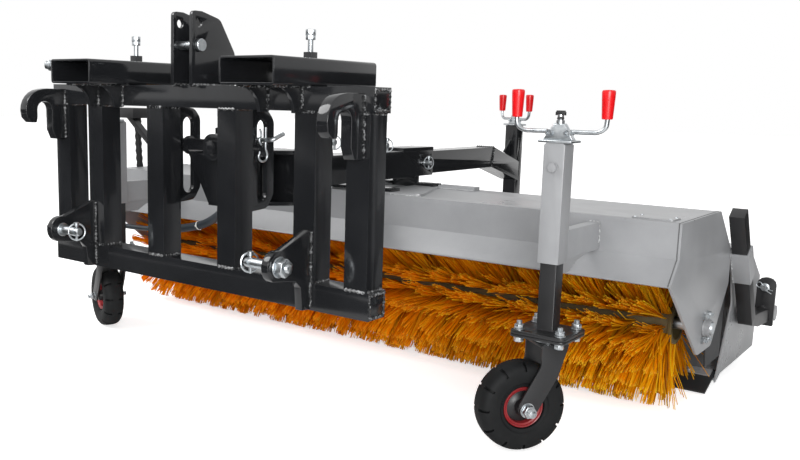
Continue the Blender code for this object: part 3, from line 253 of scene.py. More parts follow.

# %% [markdown]
# The bristles are drawn polypropylene strands in a translucent amber. Along each strand the
# colour is deeper near the core, a painted shade where the roots crowd, and palest at the cut
# tips. Each strand carries two numbers: how far a point is along the strand, and a random shade
# for the whole strand. The material mixes its colours from those two, so thousands of strands
# need only one material. Part of the light passes through, which makes strands glow where they
# hang over white ground. Towards the left end the tufts are tinted a deeper orange. The core
# between them is a dark olive brown, painted shade for a core seen only deep between the strips.

# %% Bristle plastic
def bristle_plastic():
    made, shader = new_material("amber_polypropylene", 0.42, Specular_IOR_Level=0.24)
    along = add_node(made, "Attribute", attribute_name="along")
    shade = add_node(made, "Attribute", attribute_name="shade")
    # Along each strand the colour is darker near the core: painted shade among the crowded roots.
    length_colour = ramp(made, along, "Fac", [(0.05, "#f2a200"), (0.45, "#ffc600"), (0.93, "#ffd400"),
                                              (0.97, "#fff064")])
    strand_colour = ramp(made, shade, "Fac", [(0.0, "#a85e00"), (0.35, "#ffc600"), (1.0, "#fff23a")])
    mixed = add_node(made, "Mix", {"Factor": 0.68}, data_type="RGBA")
    link(made, length_colour, "Color", mixed, "A")
    link(made, strand_colour, "Color", mixed, "B")
    place = add_node(made, "TexCoord")
    parts = add_node(made, "SeparateXYZ", links=[("Vector", place, "Object")])
    # Towards the left end the strand colour is tinted a deeper orange.
    across = add_node(made, "MapRange", {"From Min": -0.20, "From Max": 1.00}, [("Value", parts, "X")])
    left_end_tint = ramp(made, across, "Result", [(0.0, "#ffe2b4"), (1.0, "#ffffff")])
    tinted = add_node(made, "Mix", {"Factor": 1.0}, data_type="RGBA", blend_type="MULTIPLY")
    link(made, mixed, "Result", tinted, "A")
    link(made, left_end_tint, "Color", tinted, "B")
    link(made, tinted, "Result", shader, "Base Color")
    through = add_node(made, "BsdfTranslucent", links=[("Color", tinted, "Result")])
    both = add_node(made, "MixShader", {"Fac": 0.68}, [(1, shader, "BSDF"), (2, through, "BSDF")])
    link(made, both, "Shader", made.node_tree.nodes["Material Output"], "Surface")
    return made


bristle_amber = bristle_plastic()
# The core's dark olive brown is painted shade: the core is seen only deep between the strips.
core_shade_paint = paint("core_olive_painted_shade", "#5d5335", "#6b6040", 0.55, 4.0, 0.10)
print("brush", bristle_amber.name, core_shade_paint.name)

# %% [markdown]
# Next come the small tools of hand modelling. Selection is done in code, so every tool starts
# by selecting only its own piece. A finished piece has its place in its mesh and its object
# at the origin, as the solids have.

# %% Modelling helpers
def alone(piece):
    """Selects one object only and makes it active."""
    bpy.ops.object.select_all(action="DESELECT")
    piece.select_set(True)
    bpy.context.view_layer.objects.active = piece
    return piece


def settle(piece, name):
    """Moves place, turn and scale into the mesh, and names the piece."""
    alone(piece)
    bpy.ops.object.transform_apply(location=True, rotation=True, scale=True)
    piece.name = piece.data.name = name
    return piece


def smooth(piece, angle=35):
    alone(piece)
    bpy.ops.object.shade_smooth_by_angle(angle=math.radians(angle))
    return piece


def bevel(piece, width, segments=2, angle=30):
    """Rounds the sharp edges with a Bevel modifier and applies it."""
    alone(piece)
    step = piece.modifiers.new("bevel", "BEVEL")
    step.width, step.segments = width, segments
    step.limit_method, step.angle_limit = "ANGLE", math.radians(angle)
    step.use_clamp_overlap = True
    bpy.ops.object.modifier_apply(modifier=step.name)
    return smooth(piece)


def wear(piece, material):
    """Gives the piece this one material."""
    piece.data.materials.clear()
    piece.data.materials.append(material)
    return piece


def copy_to(piece, matrix, name):
    """A copy with its own mesh, moved by a matrix."""
    twin = piece.copy()
    twin.data = piece.data.copy()
    twin.data.transform(matrix)
    bpy.context.scene.collection.objects.link(twin)
    twin.name = twin.data.name = name
    return twin


def join(pieces, name):
    """Joins several pieces into one; their materials stay with their faces."""
    alone(pieces[0])
    for piece in pieces[1:]:
        piece.select_set(True)
    bpy.ops.object.join()
    made = bpy.context.object
    made.name = made.data.name = name
    return made


def turned(name, section, centre, axis, steps, closed=False):
    """Draws a section of (along the axis, radius) points with Extrude and turns it with Spin."""
    axis = Vector(axis)
    side = axis.orthogonal().normalized()
    points = [Vector(centre) + axis * a + side * r for a, r in section]
    bpy.ops.object.select_all(action="DESELECT")
    bpy.ops.mesh.primitive_plane_add(size=0.001, location=points[0])
    piece = settle(bpy.context.object, name)
    bpy.ops.object.mode_set(mode="EDIT")
    bpy.ops.mesh.select_mode(type="VERT")
    bpy.ops.mesh.select_all(action="SELECT")
    bpy.ops.mesh.merge(type="CENTER")
    line = points + ([points[0]] if closed else [])
    for a, b in zip(line, line[1:]):
        bpy.ops.mesh.extrude_vertices_move(TRANSFORM_OT_translate={"value": b - a})
    bpy.ops.mesh.select_all(action="SELECT")
    bpy.ops.mesh.spin(steps=steps, angle=2 * math.pi, center=centre, axis=axis)
    bpy.ops.mesh.select_all(action="SELECT")
    bpy.ops.mesh.remove_doubles(threshold=1e-6)
    bpy.ops.mesh.normals_make_consistent(inside=False)
    bpy.ops.object.mode_set(mode="OBJECT")
    return smooth(piece)


def swept(name, points, radius, around, smoothness, caps=True, radii=None):
    """Round bar along a smooth line: a Bezier curve with a round bevel, turned into a mesh."""
    line = bpy.data.curves.new(name, "CURVE")
    line.dimensions = "3D"
    line.bevel_depth, line.bevel_resolution = radius, around
    line.resolution_u, line.use_fill_caps = smoothness, caps
    spline = line.splines.new("BEZIER" if smoothness > 1 else "POLY")
    stops = spline.bezier_points if smoothness > 1 else spline.points
    stops.add(len(points) - 1)
    for i, (stop, p) in enumerate(zip(stops, points)):
        stop.co = p if smoothness > 1 else (*p, 1)
        if smoothness > 1:
            stop.handle_left_type = stop.handle_right_type = "AUTO"
        if radii:
            stop.radius = radii[i]
    piece = bpy.data.objects.new(name, line)
    bpy.context.scene.collection.objects.link(piece)
    alone(piece)
    bpy.ops.object.convert(target="MESH")
    return smooth(bpy.context.object, 50)


def block(name, low, high):
    """A cube primitive stretched between two corners."""
    low, high = Vector(low), Vector(high)
    bpy.ops.object.select_all(action="DESELECT")
    bpy.ops.mesh.primitive_cube_add(size=1, location=(low + high) / 2)
    bpy.context.object.scale = high - low
    return settle(bpy.context.object, name)


def pick(piece, wanted):
    """In edit mode: selects the faces that a test on the face accepts."""
    bpy.ops.mesh.select_all(action="DESELECT")
    bpy.ops.mesh.select_mode(type="FACE")
    bpy.ops.object.mode_set(mode="OBJECT")
    for face in piece.data.polygons:
        face.select = wanted(face)
    bpy.ops.object.mode_set(mode="EDIT")


def even_line(points, pitch, soft=False):
    """Points at an even pitch along a line; a soft line bends smoothly through its points."""
    points = [Vector(p) for p in points]
    fine = [points[0]]
    for i in range(len(points) - 1):
        a, b = points[i], points[i + 1]
        if soft:
            before = points[i - 1] if i else a * 2 - b
            after = points[i + 2] if i + 2 < len(points) else b * 2 - a
            for k in range(1, 13):
                u = k / 12
                fine.append(0.5 * (2 * a + (b - before) * u + (2 * before - 5 * a + 4 * b - after) * u * u
                                   + (3 * a - before - 3 * b + after) * u ** 3))
        else:
            fine.append(b)
    length = sum((b - a).length for a, b in zip(fine, fine[1:]))
    count = max(2, round(length / pitch))
    out, walked, target = [fine[0]], 0.0, length / count
    for a, b in zip(fine, fine[1:]):
        step = (b - a).length
        while step and walked + step >= target - 1e-9 and len(out) < count:
            out.append(a + (b - a) * ((target - walked) / step))
            target += length / count
        walked += step
    return out + [fine[-1]]


def rippled(name, points, radius, pitch, low, soft=False, around=1):
    """A bar whose thickness swells and shrinks along its line: a weld bead or a spiral guard."""
    line = even_line(points, pitch, soft)
    swell = [1.0 if i % 2 else low for i in range(len(line))]
    return swept(name, line, radius, around, 1, True, swell)


def toward(place, axis=(0, 0, 1), size=1.0, spin=0.0):
    """Matrix that stands a piece built along Z at a place, pointing along an axis."""
    turn = Vector((0, 0, 1)).rotation_difference(Vector(axis)).to_matrix().to_4x4()
    return Matrix.Translation(place) @ turn @ Matrix.Rotation(spin, 4, "Z") @ Matrix.Scale(size, 4)


def body_of(node):
    """Name of the moving body that a solid belongs to."""
    return frame["nodes"][node]["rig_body"]


def mount(piece, node, material, replace=True):
    """Gives a piece its finish and its body; a replacing piece stands for the solid."""
    wear(piece, material)
    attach(piece, body_of(node))
    if replace:
        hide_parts(node)
    return piece


print("tools ready")

# %% [markdown]
# The welded plates and tubes have the right shape already, but their edges are perfectly
# sharp, and real edges catch light because tubes are rolled and plates are ground. So we copy
# a solid's mesh, weld its loose triangles, dissolve the flat ones into whole faces, and bevel
# the edges. The radius is the one the real stock has: 5 mm on a square tube, 1 mm on a plate.

# %% Dress the welded parts
def dressed(node, radius, material):
    """A softened copy of a solid, which then stands for it on its body."""
    solid = frame["nodes"][node]
    piece = bpy.data.objects.new(node + "_dressed", solid.data.copy())
    bpy.context.scene.collection.objects.link(piece)
    alone(piece)
    bpy.ops.object.mode_set(mode="EDIT")
    bpy.ops.mesh.select_all(action="SELECT")
    bpy.ops.mesh.remove_doubles(threshold=2e-5)
    bpy.ops.mesh.dissolve_limited(angle_limit=math.radians(0.6))
    bpy.ops.object.mode_set(mode="OBJECT")
    piece.data.name = piece.name
    bevel(piece, radius, 3, 40)
    return mount(piece, node, material)


def second_finish(piece, material, wanted):
    """A second material on the faces that a test on their centre accepts."""
    piece.data.materials.append(material)
    for face in piece.data.polygons:
        if wanted(face.center):
            face.material_index = 1


TUBE_EDGE, PLATE_EDGE, SHEET_EDGE = 0.0055, 0.0012, 0.0015
for node, edge, material in (
        ("coupling_frame", TUBE_EDGE, black_enamel), ("top_link_mast", PLATE_EDGE, black_enamel),
        ("fork_pocket_right", PLATE_EDGE, black_enamel), ("fork_pocket_left", PLATE_EDGE, black_enamel),
        ("coupling_hook_right", 0.002, black_enamel), ("coupling_hook_left", 0.002, black_enamel),
        ("link_bracket_right", 0.002, black_enamel), ("link_bracket_left", 0.002, black_enamel),
        ("centre_beam", 0.003, black_enamel), ("rear_arm", 0.003, black_enamel),
        ("post_inner_right", 0.002, black_satin), ("post_inner_left", 0.002, black_satin),
        ("post_inner_rear", 0.002, black_satin), ("swivel_head", 0.0015, black_enamel),
        ("roll_beam", 0.0015, black_enamel), ("box_carrier_right", 0.003, black_satin),
        ("box_carrier_left", 0.003, black_satin), ("hood", SHEET_EDGE, grey_coat),
        ("post_sleeve_right", 0.005, grey_coat), ("post_sleeve_left", 0.005, grey_coat),
        ("collecting_box", SHEET_EDGE, grey_coat), ("caster_fork_right", 0.0015, black_satin),
        ("caster_fork_left", 0.0015, black_satin), ("caster_fork_rear", 0.0015, black_satin),
        ("hose_support", 0.0015, black_satin)):
    made = dressed(node, edge, material)
    if node.startswith("box_carrier"):
        second_finish(made, grey_coat,
                      lambda c: abs(c.x) > 1.2800 and math.hypot(c.y - 0.765, c.z - 0.190) < 0.0305)
print("dressed copies made")

# %% [markdown]
# The long tubes of the frame are closed at their ends. A cap is a cube primitive that just fills
# the opening, and its outer face is inset a little, as a ground weld would leave it.

# %% End caps of the frame tubes
caps = []
for s in (-1, 1):
    for z0, z1 in ((0.3985, 0.4625), (0.9425, 0.9975)):
        cap = block("end_cap", (s * 0.6740 - 0.0030, -1.0700, z0 - 0.0040),
                    (s * 0.6740 + 0.0030, -0.9940, z1 + 0.0040))
        bpy.ops.object.mode_set(mode="EDIT")
        pick(cap, lambda face: face.normal.x * s > 0.9)
        bpy.ops.mesh.inset(thickness=0.0060, depth=0.0012)
        bpy.ops.object.mode_set(mode="OBJECT")
        caps.append(bevel(cap, 0.0012, 2))
mount(join(caps, "end_caps"), "coupling_frame", black_enamel, False)
print("end caps", len(caps))

# %% [markdown]
# A few solids can stay as they are: flat rubber sheets, the flat bar of the lip and the lower
# latch parts. They only need their real finish, and every solid gets one here.

# %% Finishes on the solids that stay
for node, solid in frame["nodes"].items():
    finish = zinc
    if node.startswith(("side_curtain", "rubber_lip")):
        finish = sheet_rubber
    elif node.startswith(("lip_strip", "brush_bearing")):
        finish = grey_coat
    elif node.startswith(("brush_motor", "caster_plate")):
        finish = black_satin
    elif node.startswith("bristle"):
        finish = bristle_amber
    solid.data.materials.clear()
    solid.data.materials.append(finish)
print("finishes set")

# %% [markdown]
# Weld beads tell the eye that this machine is built from cut tube. A hand-laid bead is a row
# of overlapping scales, about 1 cm apart, painted over with the rest. A bar that swells and
# shrinks along its line looks just like that once the gloss paint is on it. Each bead follows
# the seam where two solids meet, so we write down the seams body by body.

# %% Weld beads
def seam_loop(x, y0, y1, z0, z1):
    """Closed seam around the end face of a tube that lies along X."""
    return [(x, y0, z0), (x, y1, z0), (x, y1, z1), (x, y0, z1), (x, y0, z0)]


FRONT = -1.0708          # front face of the coupling frame's tubes
LEAN = math.radians(33)  # the box carriers lean back by this much, from their upper ends
CARRIER_TOP, CARRIER_SIN, CARRIER_COS = (0.180, 0.628), math.sin(LEAN), math.cos(LEAN)
JOINT_X = 1.2368         # where the end plates meet the folded sheet
frame_seams = []
for x in [-x for x in UPRIGHTS[::-1]] + list(UPRIGHTS):
    for z in (0.4690, 0.9360):
        frame_seams.append([(x - 0.034, FRONT + 0.0015, z), (x + 0.034, FRONT + 0.0015, z)])
        frame_seams.append([(x + 0.0375, FRONT + 0.006, z), (x + 0.0375, -0.998, z)])
for s in (-1, 1):
    for z0, z1 in ((0.399, 0.462), (0.943, 0.997)):
        frame_seams.append(seam_loop(s * 0.677, -1.065, -0.999, z0, z1))
    for x in (s * POCKET_X - 0.062, s * POCKET_X + 0.062):
        for side in (-0.0065, 0.0065):
            frame_seams.append([(x + side, FRONT - 0.0010, 0.933), (x + side, FRONT - 0.0010, 1.000)])
            frame_seams.append([(x + side, FRONT - 0.004, 1.0025), (x + side, FRONT - 0.112, 1.0025)])
    frame_seams.append([(s * POCKET_X - 0.096, FRONT - 0.001, 1.0035),
                        (s * POCKET_X + 0.096, FRONT - 0.001, 1.0035)])
    for side in (-0.018, 0.018):
        frame_seams.append([(s * HOOK_X + side, FRONT - 0.001, 0.822),
                            (s * HOOK_X + side, FRONT - 0.001, 0.983)])
    for side in (-0.0125, 0.0125):
        frame_seams.append([(s * BRACKET_X + side, FRONT - 0.001, 0.399),
                            (s * BRACKET_X + side, FRONT - 0.001, 0.612)])
    for side in (0.034, 0.046):
        frame_seams.append([(s * side, -1.098, 1.0040), (s * side, -0.924, 1.0040)])
for x in (LEFT_GUIDE, RIGHT_GUIDE):
    frame_seams.append([(x + 0.0085, -0.9925, 0.645), (x + 0.0085, -0.9925, 0.935)])
seams = {"coupling_frame": (frame_seams, weld_enamel, "black_paint", 0.0062)}
grey_seams = []
for x in FRONT_POSTS.values():
    grey_seams.append([(x + 0.0165, -0.3365, 0.5385), (x + 0.0165, -0.3365, 0.6190)])
    grey_seams.append([(x - 0.0165, -0.3365, 0.5385), (x - 0.0165, -0.3365, 0.6190)])
    grey_seams.append([(x - 0.016, -0.3365, 0.6210), (x + 0.016, -0.3365, 0.6210)])
    grey_seams.append([(x + 0.0165, -0.6040, 0.5400), (x + 0.0165, -0.6040, 0.6200)])
for s in (-1, 1):
    for off in (-0.031, 0.031):
        ends = [(s * 1.2468, CARRIER_TOP[0] + CARRIER_SIN * d + CARRIER_COS * off,
                 CARRIER_TOP[1] - CARRIER_COS * d + CARRIER_SIN * off) for d in (0.163, 0.285)]
        grey_seams.append(ends)
grey_seams.append([(0.2410, 0.0015, 0.6415), (0.3880, 0.0095, 0.6415)])
grey_seams.append([(0.1560, -0.3300, 0.6415), (0.2100, -0.3300, 0.6415), (0.3560, -0.3120, 0.6415)])
# Fine joints run up the front edge of the end plates and back along the top; their dark grey line is painted
# shade in the closed gap.
joint_path = [(-0.4000, 0.4645), (-0.3352, 0.5342), (-0.3352, 0.6400), (0.0740, 0.6400)]
joints = join([swept("joint", [(s * JOINT_X, y, z) for y, z in joint_path], 0.0017, 1, 1) for s in (-1, 1)],
              "hood_end_joints")
mount(joints, "hood", seam_shadow, False)
seams["hood"] = (grey_seams, weld_grey, "grey_paint", 0.0036)
arm_seams = [[(0.1350, 0.6330, 0.6870), (0.1350, 0.6500, 0.7735)],
             [(0.0460, 0.6500, 0.7745), (0.1340, 0.6500, 0.7745)],
             [(0.1210, 0.8990, 0.6150), (0.1210, 0.8990, 0.6980)]]
seams["rear_arm"] = (arm_seams, weld_enamel, "black_paint", 0.0045)
for node, (lines, material, slot, radius) in seams.items():
    beads = [rippled("bead", line, radius, radius * 1.1, 0.50) for line in lines]
    mount(join(beads, "weld_beads_" + node), node, material, False)
    print(node, "weld beads", len(beads))

# %% [markdown]
# Bolts and nuts repeat everywhere, so each is modelled once and copied: a chamfered hexagon,
# a washer, a threaded end. The hexagon starts as a six-sided cylinder. An inset on both faces,
# pushed out by half a millimetre, makes the washer face, and a small bevel rounds the corners.
# Sizes are those of an M16 set, and a copy is scaled for a thinner or thicker bolt.

# %% Bolt kit
def hex_nut():
    """An M16 nut that stands on the ground plane, washer face included."""
    bpy.ops.object.select_all(action="DESELECT")
    bpy.ops.mesh.primitive_cylinder_add(vertices=6, radius=0.01386, depth=0.012, location=(0, 0, 0.0065))
    piece = settle(bpy.context.object, "hex_nut")
    bpy.ops.object.mode_set(mode="EDIT")
    pick(piece, lambda face: abs(face.normal.z) > 0.9)
    bpy.ops.mesh.inset(thickness=0.0016, depth=0.0005)
    bpy.ops.object.mode_set(mode="OBJECT")
    return bevel(piece, 0.0007, 2, 25)


def threaded(name, length, radius, pitch=0.002, steps=20):
    """A bar with a row of thread crests, turned from its section."""
    section = [(0, 0.0), (0, radius * 0.9)]
    count = int(length / pitch)
    for i in range(count):
        section += [(pitch * (i + 0.25), radius * 0.90), (pitch * (i + 0.75), radius)]
    section += [(length - 0.0004, radius * 0.88), (length, radius * 0.80), (length, 0.0)]
    return turned(name, section, (0, 0, 0), (0, 0, 1), steps)


washer_section = [(0, 0.0086), (0, 0.0150), (0.0005, 0.0155), (0.0022, 0.0155), (0.0028, 0.0149),
                  (0.0028, 0.0086)]
dome_section = [(0, 0), (0, 0.012), (0.003, 0.0116), (0.006, 0.009), (0.0075, 0.005), (0.008, 0)]
kit = {
    "nut": hex_nut(),
    "washer": turned("washer", washer_section, (0, 0, 0), (0, 0, 1), 28, True),
    "end": threaded("end", 0.018, 0.0079),
    "dome": turned("dome", dome_section, (0, 0, 0), (0, 0, 1), 24),
}
# How far each kind lifts the next one; a bolt end starts inside its nut.
LIFT = {"washer": 0.0028, "nut": 0.0053, "end": 0.0, "dome": 0.008}


def put(pile, kinds, place, axis, size=1.0, spin=0.0):
    """Stacks copies of kit pieces outwards from a face: washer, then nut, then bolt end."""
    height = 0.0
    axis = Vector(axis).normalized()
    for kind in kinds.split():
        spot = Vector(place) + axis * height
        pile.append(copy_to(kit[kind], toward(spot, axis, size, spin), kind + "_copy"))
        height += LIFT[kind] * size


print("kit", ", ".join(kit))

# %% Bolts where they are seen
bolts = {}


def group(node):
    """The list of bolt pieces that belong to a node; it starts empty."""
    return bolts.setdefault(node, [])


for tag, x in FRONT_POSTS.items():
    put(group("post_sleeve_" + tag), "washer nut", (x, -0.6655, 0.800), (0, -1, 0), 0.58, 0.3)
for x, y in ((1.099, -0.300), (1.201, -0.300), (1.201, -0.244), (1.099, -0.244)):
    put(group("hood"), "dome", (x, y, 0.6440), (0, 0, 1), 0.42)
lip_turn = math.atan2(0.020, 0.055)      # slope of the lip strip, which rises towards the rear
for i in range(-4, 5):
    spot = Vector((0.285 * i, 0.245 + 0.020 * math.cos(lip_turn) - 0.0176 * math.sin(lip_turn),
                   0.030 + 0.020 * math.sin(lip_turn) + 0.0176 * math.cos(lip_turn)))
    put(group("lip_strip"), "washer nut end", spot, (0, -math.sin(lip_turn), math.cos(lip_turn)), 0.80,
        0.2 * i)
for y, z in ((-0.021, 0.040), (0.021, 0.040), (-0.021, -0.040), (0.021, -0.040)):
    put(group("brush_bearing_right"), "washer nut end", (END_FACE, y, AXIS_HEIGHT + z), (1, 0, 0), 0.75,
        y * 9)
# x, y and heading in degrees of each caster; the left one stands 40 mm beside its crank.
CASTERS = {"right": (FRONT_POSTS["right"], POST_Y, -39),
           "left": (FRONT_POSTS["left"] - 0.040, POST_Y, -112),
           "rear": (*REAR_POST, 180)}
for tag, (x, y, heading) in CASTERS.items():
    stand = Matrix.Translation((x, y, 0)) @ Matrix.Rotation(math.radians(heading), 4, "Z")
    axle_size = 1.38 if tag == "right" else 1.05
    for s in (-1, 1):
        axis = stand.to_3x3() @ Vector((s, 0, 0))
        spot = stand @ Vector((s * 0.0532, -TRAIL, WHEEL_RADIUS))
        put(group("caster_fork_" + tag), "washer nut end", spot, axis, axle_size, 0.4)
    for sx in (-0.060, 0.060):
        for sy in (-0.057, 0.057):
            put(group("post_inner_" + tag), "washer nut end", (x + sx, y + sy, 0.3452), (0, 0, 1), 1.0,
                sx * 9 + sy * 5)
            put(group("post_inner_" + tag), "washer nut", (x + sx, y + sy, 0.3263), (0, 0, -1), 1.0, sx * 5)
for node, pieces in bolts.items():
    mount(join(pieces, "bolts_" + node), node, zinc, False)
print("bolt groups", len(bolts))

# %% [markdown]
# A solid caster wheel comes next. The tyre is a turned section: a flat tread, round shoulders,
# a bulging side and a bead ring. Its shoulder notches are faces picked in a regular rhythm and
# inset inwards, which gives the toothed edge seen against the light. The rim is a red pressed
# ring with a dark hub deep inside.

# %% Tyre, rim and hub
TYRE_STEPS = 96


def tyre_shape():
    """The tyre about the X axis, with notches cut into both shoulders."""
    side = [(0.0255, 0.0595), (0.0330, 0.0622), (0.0345, 0.0700), (0.0385, 0.0745), (0.0402, 0.0860),
            (0.0408, 0.0960), (0.0398, 0.1060), (0.0372, 0.1150), (0.0310, 0.1222), (0.0230, 0.1262),
            (0.0120, 0.1280)]
    section = side + [(-a, r) for a, r in side[::-1]]
    piece = turned("tyre_shape", section, (0, 0, 0), (1, 0, 0), TYRE_STEPS, True)
    alone(piece)
    bpy.ops.object.mode_set(mode="EDIT")

    def notch(face):
        c = face.center
        r = math.hypot(c.y, c.z)
        turn = int((math.atan2(c.z, c.y) % (2 * math.pi)) / (2 * math.pi) * TYRE_STEPS)
        return abs(c.x) > 0.016 and r > 0.108 and turn % 8 == 0

    pick(piece, notch)
    bpy.ops.mesh.inset(thickness=0.0006, depth=-0.0085)
    bpy.ops.object.mode_set(mode="OBJECT")
    return smooth(piece, 30)


def rim_shape():
    side = [(0.0290, 0.0588), (0.0306, 0.0570), (0.0296, 0.0546), (0.0262, 0.0524), (0.0245, 0.0480),
            (0.0180, 0.0462), (0.0060, 0.0455)]
    section = side + [(-a, r) for a, r in side[::-1]]
    return turned("rim_shape", section, (0, 0, 0), (1, 0, 0), 64, True)


def hub_shape():
    side = [(0.0385, 0.0090), (0.0390, 0.0180), (0.0375, 0.0205), (0.0200, 0.0235), (0.0140, 0.0300),
            (0.0110, 0.0452)]
    section = side + [(-a, r) for a, r in side[::-1]]
    return turned("hub_shape", section, (0, 0, 0), (1, 0, 0), 48, True)


shapes = {"tyre": tyre_shape(), "rim": rim_shape(), "hub": hub_shape()}
for tag, (x, y, heading) in CASTERS.items():
    h = math.radians(heading)
    axle = Vector((x + TRAIL * math.sin(h), y - TRAIL * math.cos(h), WHEEL_RADIUS))
    place = Matrix.Translation(axle) @ Matrix.Rotation(h, 4, "Z")
    mount(copy_to(shapes["tyre"], place, "tyre_worn_" + tag), "tyre_" + tag, tyre_rubber)
    mount(copy_to(shapes["rim"], place, "rim_ring_" + tag), "rim_" + tag, rim_red)
    mount(copy_to(shapes["hub"], place, "rim_hub_" + tag), "rim_" + tag, black_satin, False)
for piece in shapes.values():
    bpy.data.objects.remove(piece)
print("wheels", TYRE_STEPS, "steps")

# %% [markdown]
# Under each post sits a caster head: a plate with rounded corners, a swivel race and a large
# nut. The plate is a cube whose upright edges get an 18 mm bevel. The race is turned, with the
# groove where its two halves meet.

# %% Caster heads
def caster_head(x, y, name):
    """The top plate and, as a second piece, the swivel race with its spindle and nut."""
    plate = block(name, (x - 0.082, y - 0.079, 0.3270), (x + 0.082, y + 0.079, 0.3345))
    bpy.ops.object.mode_set(mode="EDIT")
    bpy.ops.mesh.select_mode(type="EDGE")
    bpy.ops.mesh.select_all(action="DESELECT")
    bpy.ops.object.mode_set(mode="OBJECT")
    for edge in plate.data.edges:
        a, b = (plate.data.vertices[v].co for v in edge.vertices)
        edge.select = abs(a.z - b.z) > 0.005
    bpy.ops.object.mode_set(mode="EDIT")
    bpy.ops.mesh.bevel(offset=0.018, segments=6)
    bpy.ops.object.mode_set(mode="OBJECT")
    bevel(plate, 0.0008, 2)
    rings = [(0, 0), (0, 0.0395), (0.004, 0.0405), (0.0080, 0.0395), (0.0088, 0.0370), (0.0096, 0.0395),
             (0.0150, 0.0405), (0.0175, 0.0380), (0.0182, 0)]
    race = turned("race", rings, (x, y, 0.3126), (0, 0, 1), 40)
    pin = [(0, 0), (0, 0.0080), (0.002, 0.0100), (0.0290, 0.0100), (0.0290, 0)]
    spindle = turned("spindle", pin, (x, y, 0.2860), (0, 0, 1), 24)
    nut = copy_to(kit["nut"], toward((x, y, 0.2985), (0, 0, -1), 1.12), "spindle_nut")
    return plate, join([race, spindle, nut], name + "_race")


for tag, (x, y, heading) in CASTERS.items():
    plate, race = caster_head(x, y, "caster_head_" + tag)
    mount(plate, "caster_plate_" + tag, black_satin)
    mount(race, "caster_plate_" + tag, zinc, False)
print("caster heads", len(CASTERS))

# %% [markdown]
# The height cranks stand out against the white: a zinc plate, a cast wedge with two eyes, two
# bent rods and red dipped grips that widen to the top, and a black knob. The wedge is a cube
# whose top face is scaled in. Each eye is a turned ring. The grips are turned from a curved
# section, and the rods are swept along a smooth line.

# %% Height cranks
def crank_pieces():
    """The crank in its own axes: arms along X, screw along Z through the origin."""
    base, arm, screw = 0.8663, 0.128, 0.330
    plate = block("crank_plate", (-0.048, -0.034, base), (0.048, 0.034, base + 0.0075))
    bevel(plate, 0.0025, 3)
    wedge = block("wedge", (-0.044, -0.012, base + 0.0070), (0.044, 0.012, base + 0.0520))
    bpy.ops.object.mode_set(mode="EDIT")
    pick(wedge, lambda face: face.normal.z > 0.9)
    bpy.ops.transform.resize(value=(0.36, 0.80, 1), center_override=(0, 0, base + 0.0520))
    bpy.ops.object.mode_set(mode="OBJECT")
    bevel(wedge, 0.0035, 4)
    metal = [plate, wedge]
    eyelet = [(0, 0.0042), (0, 0.0092), (0.0012, 0.0100), (0.0045, 0.0100), (0.0058, 0.0088),
              (0.0058, 0.0060), (0.0030, 0.0042)]
    low, high = base + 0.030, base + 0.052
    for s in (-1, 1):
        for way in (-1, 1):
            centre = (s * 0.026, way * 0.0105, base + 0.026)
            metal.append(turned("eye", eyelet, centre, (0, way, 0), 24, True))
        bent = [(s * 0.036, 0, low), (s * 0.080, 0, low), (s * 0.108, 0, low + 0.002),
                (s * 0.1245, 0, low + 0.013), (s * arm, 0, high + 0.004), (s * arm, 0, high + 0.040),
                (s * arm, 0, high + 0.086)]
        metal.append(swept("rod", bent, 0.0064, 4, 8))
    stem = [(0, 0), (0, 0.0115), (0.010, 0.0112), (0.012, 0.0085), (0.026, 0.0085), (0.027, 0)]
    metal.append(turned("stem", stem, (0, 0, base + 0.050), (0, 0, 1), 24))
    metal.append(threaded("screw", screw, 0.0100, 0.004, 16))
    metal[-1].data.transform(Matrix.Translation((0, 0, base - screw)))
    metal = join(metal, "crank_metal")
    handle = [(0, 0.0066), (0, 0.0125), (0.0015, 0.0140), (0.0060, 0.0144), (0.0300, 0.0158),
              (0.0560, 0.0172), (0.0690, 0.0178), (0.0735, 0.0172), (0.0757, 0.0150), (0.0765, 0.0080),
              (0.0768, 0)]
    grips = [turned("grip", handle, (s * arm, 0, base + 0.0660), (0, 0, 1), 32) for s in (-1, 1)]
    grips = join(grips, "crank_grips")
    knob = block("crank_knob", (-0.0105, -0.0068, base + 0.0745), (0.0105, 0.0068, base + 0.0865))
    bpy.ops.object.mode_set(mode="EDIT")
    for s in (-1, 1):
        pick(knob, lambda face: face.normal.x * s > 0.9)
        bpy.ops.mesh.inset(thickness=0.0015)
        bpy.ops.mesh.extrude_region_move(TRANSFORM_OT_translate={"value": (s * 0.0030, 0, -0.0030)})
    bpy.ops.object.mode_set(mode="OBJECT")
    bevel(knob, 0.0018, 3)
    waist = [(0, 0), (0, 0.0092), (0.0010, 0.0098), (0.0050, 0.0090), (0.0105, 0.0072), (0.0125, 0.0064)]
    neck = turned("knob_neck", waist, (0, 0, base + 0.0630), (0, 0, 1), 24)
    return metal, grips, join([knob, neck], "crank_knob")


metal, grips, knob = crank_pieces()
# Place and turn in radians of each crank.
for tag, (x, y), turn in (("right", (FRONT_POSTS["right"], POST_Y), 0.0),
                          ("left", (FRONT_POSTS["left"], POST_Y), -0.67),
                          ("rear", REAR_POST, -0.614)):
    place = Matrix.Translation((x, y, 0)) @ Matrix.Rotation(turn, 4, "Z")
    node = "height_crank_" + tag
    mount(copy_to(metal, place, "crank_metal_" + tag), node, zinc)
    mount(copy_to(grips, place, "crank_grips_" + tag), node, grip_plastic, False)
    mount(copy_to(knob, place, "crank_knob_" + tag), node, guard_plastic, False)
for piece in (metal, grips, knob):
    bpy.data.objects.remove(piece)
print("cranks made")

# %% [markdown]
# Pins couple the machine to its carrier. Each is a turned bar with chamfered ends and a collar,
# held by a washer and a nut, or by a lynch pin: a short pin with a sprung ring that swings over
# the end.

